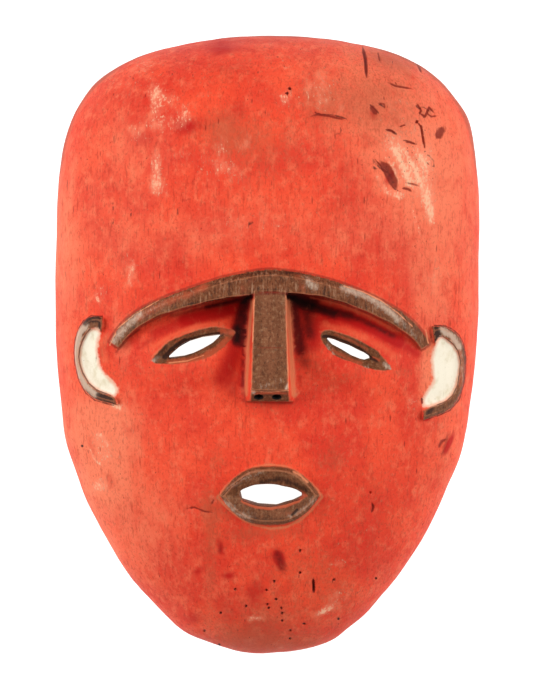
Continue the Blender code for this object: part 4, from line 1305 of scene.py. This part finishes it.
relief = add(tree, "ShaderNodeBump", {"Height": height, "Distance": 0.0005, "Strength": 0.6})
tree.links.new(relief.outputs[0], skin.inputs["Normal"])

# Adzed wood of the hollow: soft pale wood that was never painted, so it is matt, browned by
# sweat and handling, with stained patches and open grain about a millimetre wide.
hollow_wood.use_nodes = True
tree = hollow_wood.node_tree
back = tree.nodes["Principled BSDF"]
where = add(tree, "ShaderNodeTexCoord").outputs["Object"]
fields = {}
for name, grain, size, detail, roughness in (
        ("rings", (1, 0.1, 0.6), 0.009, 4.0, 0.55), ("fibre", (1, 0.1, 0.6), 0.0012, 3.0, 0.6),
        ("stain", (1, 1, 1), 0.05, 4.0, 0.5)):
    along = add(tree, "ShaderNodeMapping", {"Vector": where, "Scale": grain})
    fields[name] = add(tree, "ShaderNodeTexNoise",
                       {"Vector": along, "Scale": 1 / size, "Detail": detail,
                        "Roughness": roughness})
timber = lay_coats(tree, fields, colour("#8A5E3C"), [
    ({"rings": 1.0}, 0.35, 0.65, 1.0, "#B48658"),
    ({"fibre": 1.0}, 0.50, 0.75, 0.6, "#5A3822"),
    ({"stain": 1.0}, 0.45, 0.75, 0.7, "#4A2C1A"),
])
tree.links.new(timber, back.inputs["Base Color"])
back.inputs["Roughness"].default_value = 0.6
back.inputs["IOR"].default_value = 1.5
relief = add(tree, "ShaderNodeBump", {"Height": fields["fibre"], "Distance": 0.0004,
                                      "Strength": 0.5})
tree.links.new(relief.outputs[0], back.inputs["Normal"])
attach(mask, "root")
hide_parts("mask")

# The table: a plain pale sheet of matt paper that the mask lies on. It glows evenly, as on a
# light box, so the mask throws no shadow on it.
TABLE_HALF = 4.0
TABLE_TOP = -0.0004
floor_mesh = bpy.data.meshes.new("table")
floor_mesh.from_pydata([(TABLE_HALF * across, TABLE_HALF * up, TABLE_TOP)
                        for across, up in ((-1, -1), (1, -1), (1, 1), (-1, 1))],
                       [], [(0, 1, 2, 3)])
floor = new_object("table", floor_mesh)
pale = bpy.data.materials.new("pale_light_table")
pale.use_nodes = True
pale_shader = pale.node_tree.nodes["Principled BSDF"]
pale_shader.inputs["Base Color"].default_value = colour("#A9A8A6")
pale_shader.inputs["Roughness"].default_value = 0.9
pale_shader.inputs["Emission Color"].default_value = colour("#FFFFFF")
pale_shader.inputs["Emission Strength"].default_value = 1.0
floor_mesh.materials.append(pale)

# Light and camera: two large soft boxes beside the mask and one beyond its forehead, and
# a long lens that looks straight down on it.
for name, place, size, power in (("left_softbox", (-1.3, 0.25, 1.1), 1.2, 22.5),
                                 ("right_softbox", (1.3, 0.25, 1.1), 1.2, 20.5),
                                 ("top_softbox", (0.0, 1.2, 1.5), 1.2, 1.5)):
    lamp = bpy.data.lights.new(name, "AREA")
    lamp.shape = "SQUARE"
    lamp.size = size
    lamp.energy = power
    light = new_object(name, lamp)
    light.location = place
    aim = np.array((0.0, 0.0, 0.03)) - np.array(place)
    aim /= np.linalg.norm(aim)
    light.rotation_euler = (math.acos(-aim[2]), 0.0, math.atan2(-aim[0], aim[1]))
world = bpy.data.worlds.new("pale_room")
world.use_nodes = True
world.node_tree.nodes["Background"].inputs["Color"].default_value = colour("#FFFFFF")
world.node_tree.nodes["Background"].inputs["Strength"].default_value = 0.25
bpy.context.scene.world = world
bpy.context.scene.view_settings.view_transform = "Standard"

CAMERA_HEIGHT = 6.0
SENSOR_WIDTH = 36.0
camera_data = bpy.data.cameras.new("camera")
camera_data.sensor_fit = "HORIZONTAL"
camera_data.sensor_width = SENSOR_WIDTH
camera_data.lens = SENSOR_WIDTH * CAMERA_HEIGHT / (PHOTO_WIDTH * PHOTO_SCALE)
camera_data.clip_end = 50.0
camera = new_object("camera", camera_data)
camera.location = (0.0, (MASK_MIDDLE_DOWN - PHOTO_MIDDLE[1]) * PHOTO_SCALE, CAMERA_HEIGHT)
bpy.context.scene.camera = camera
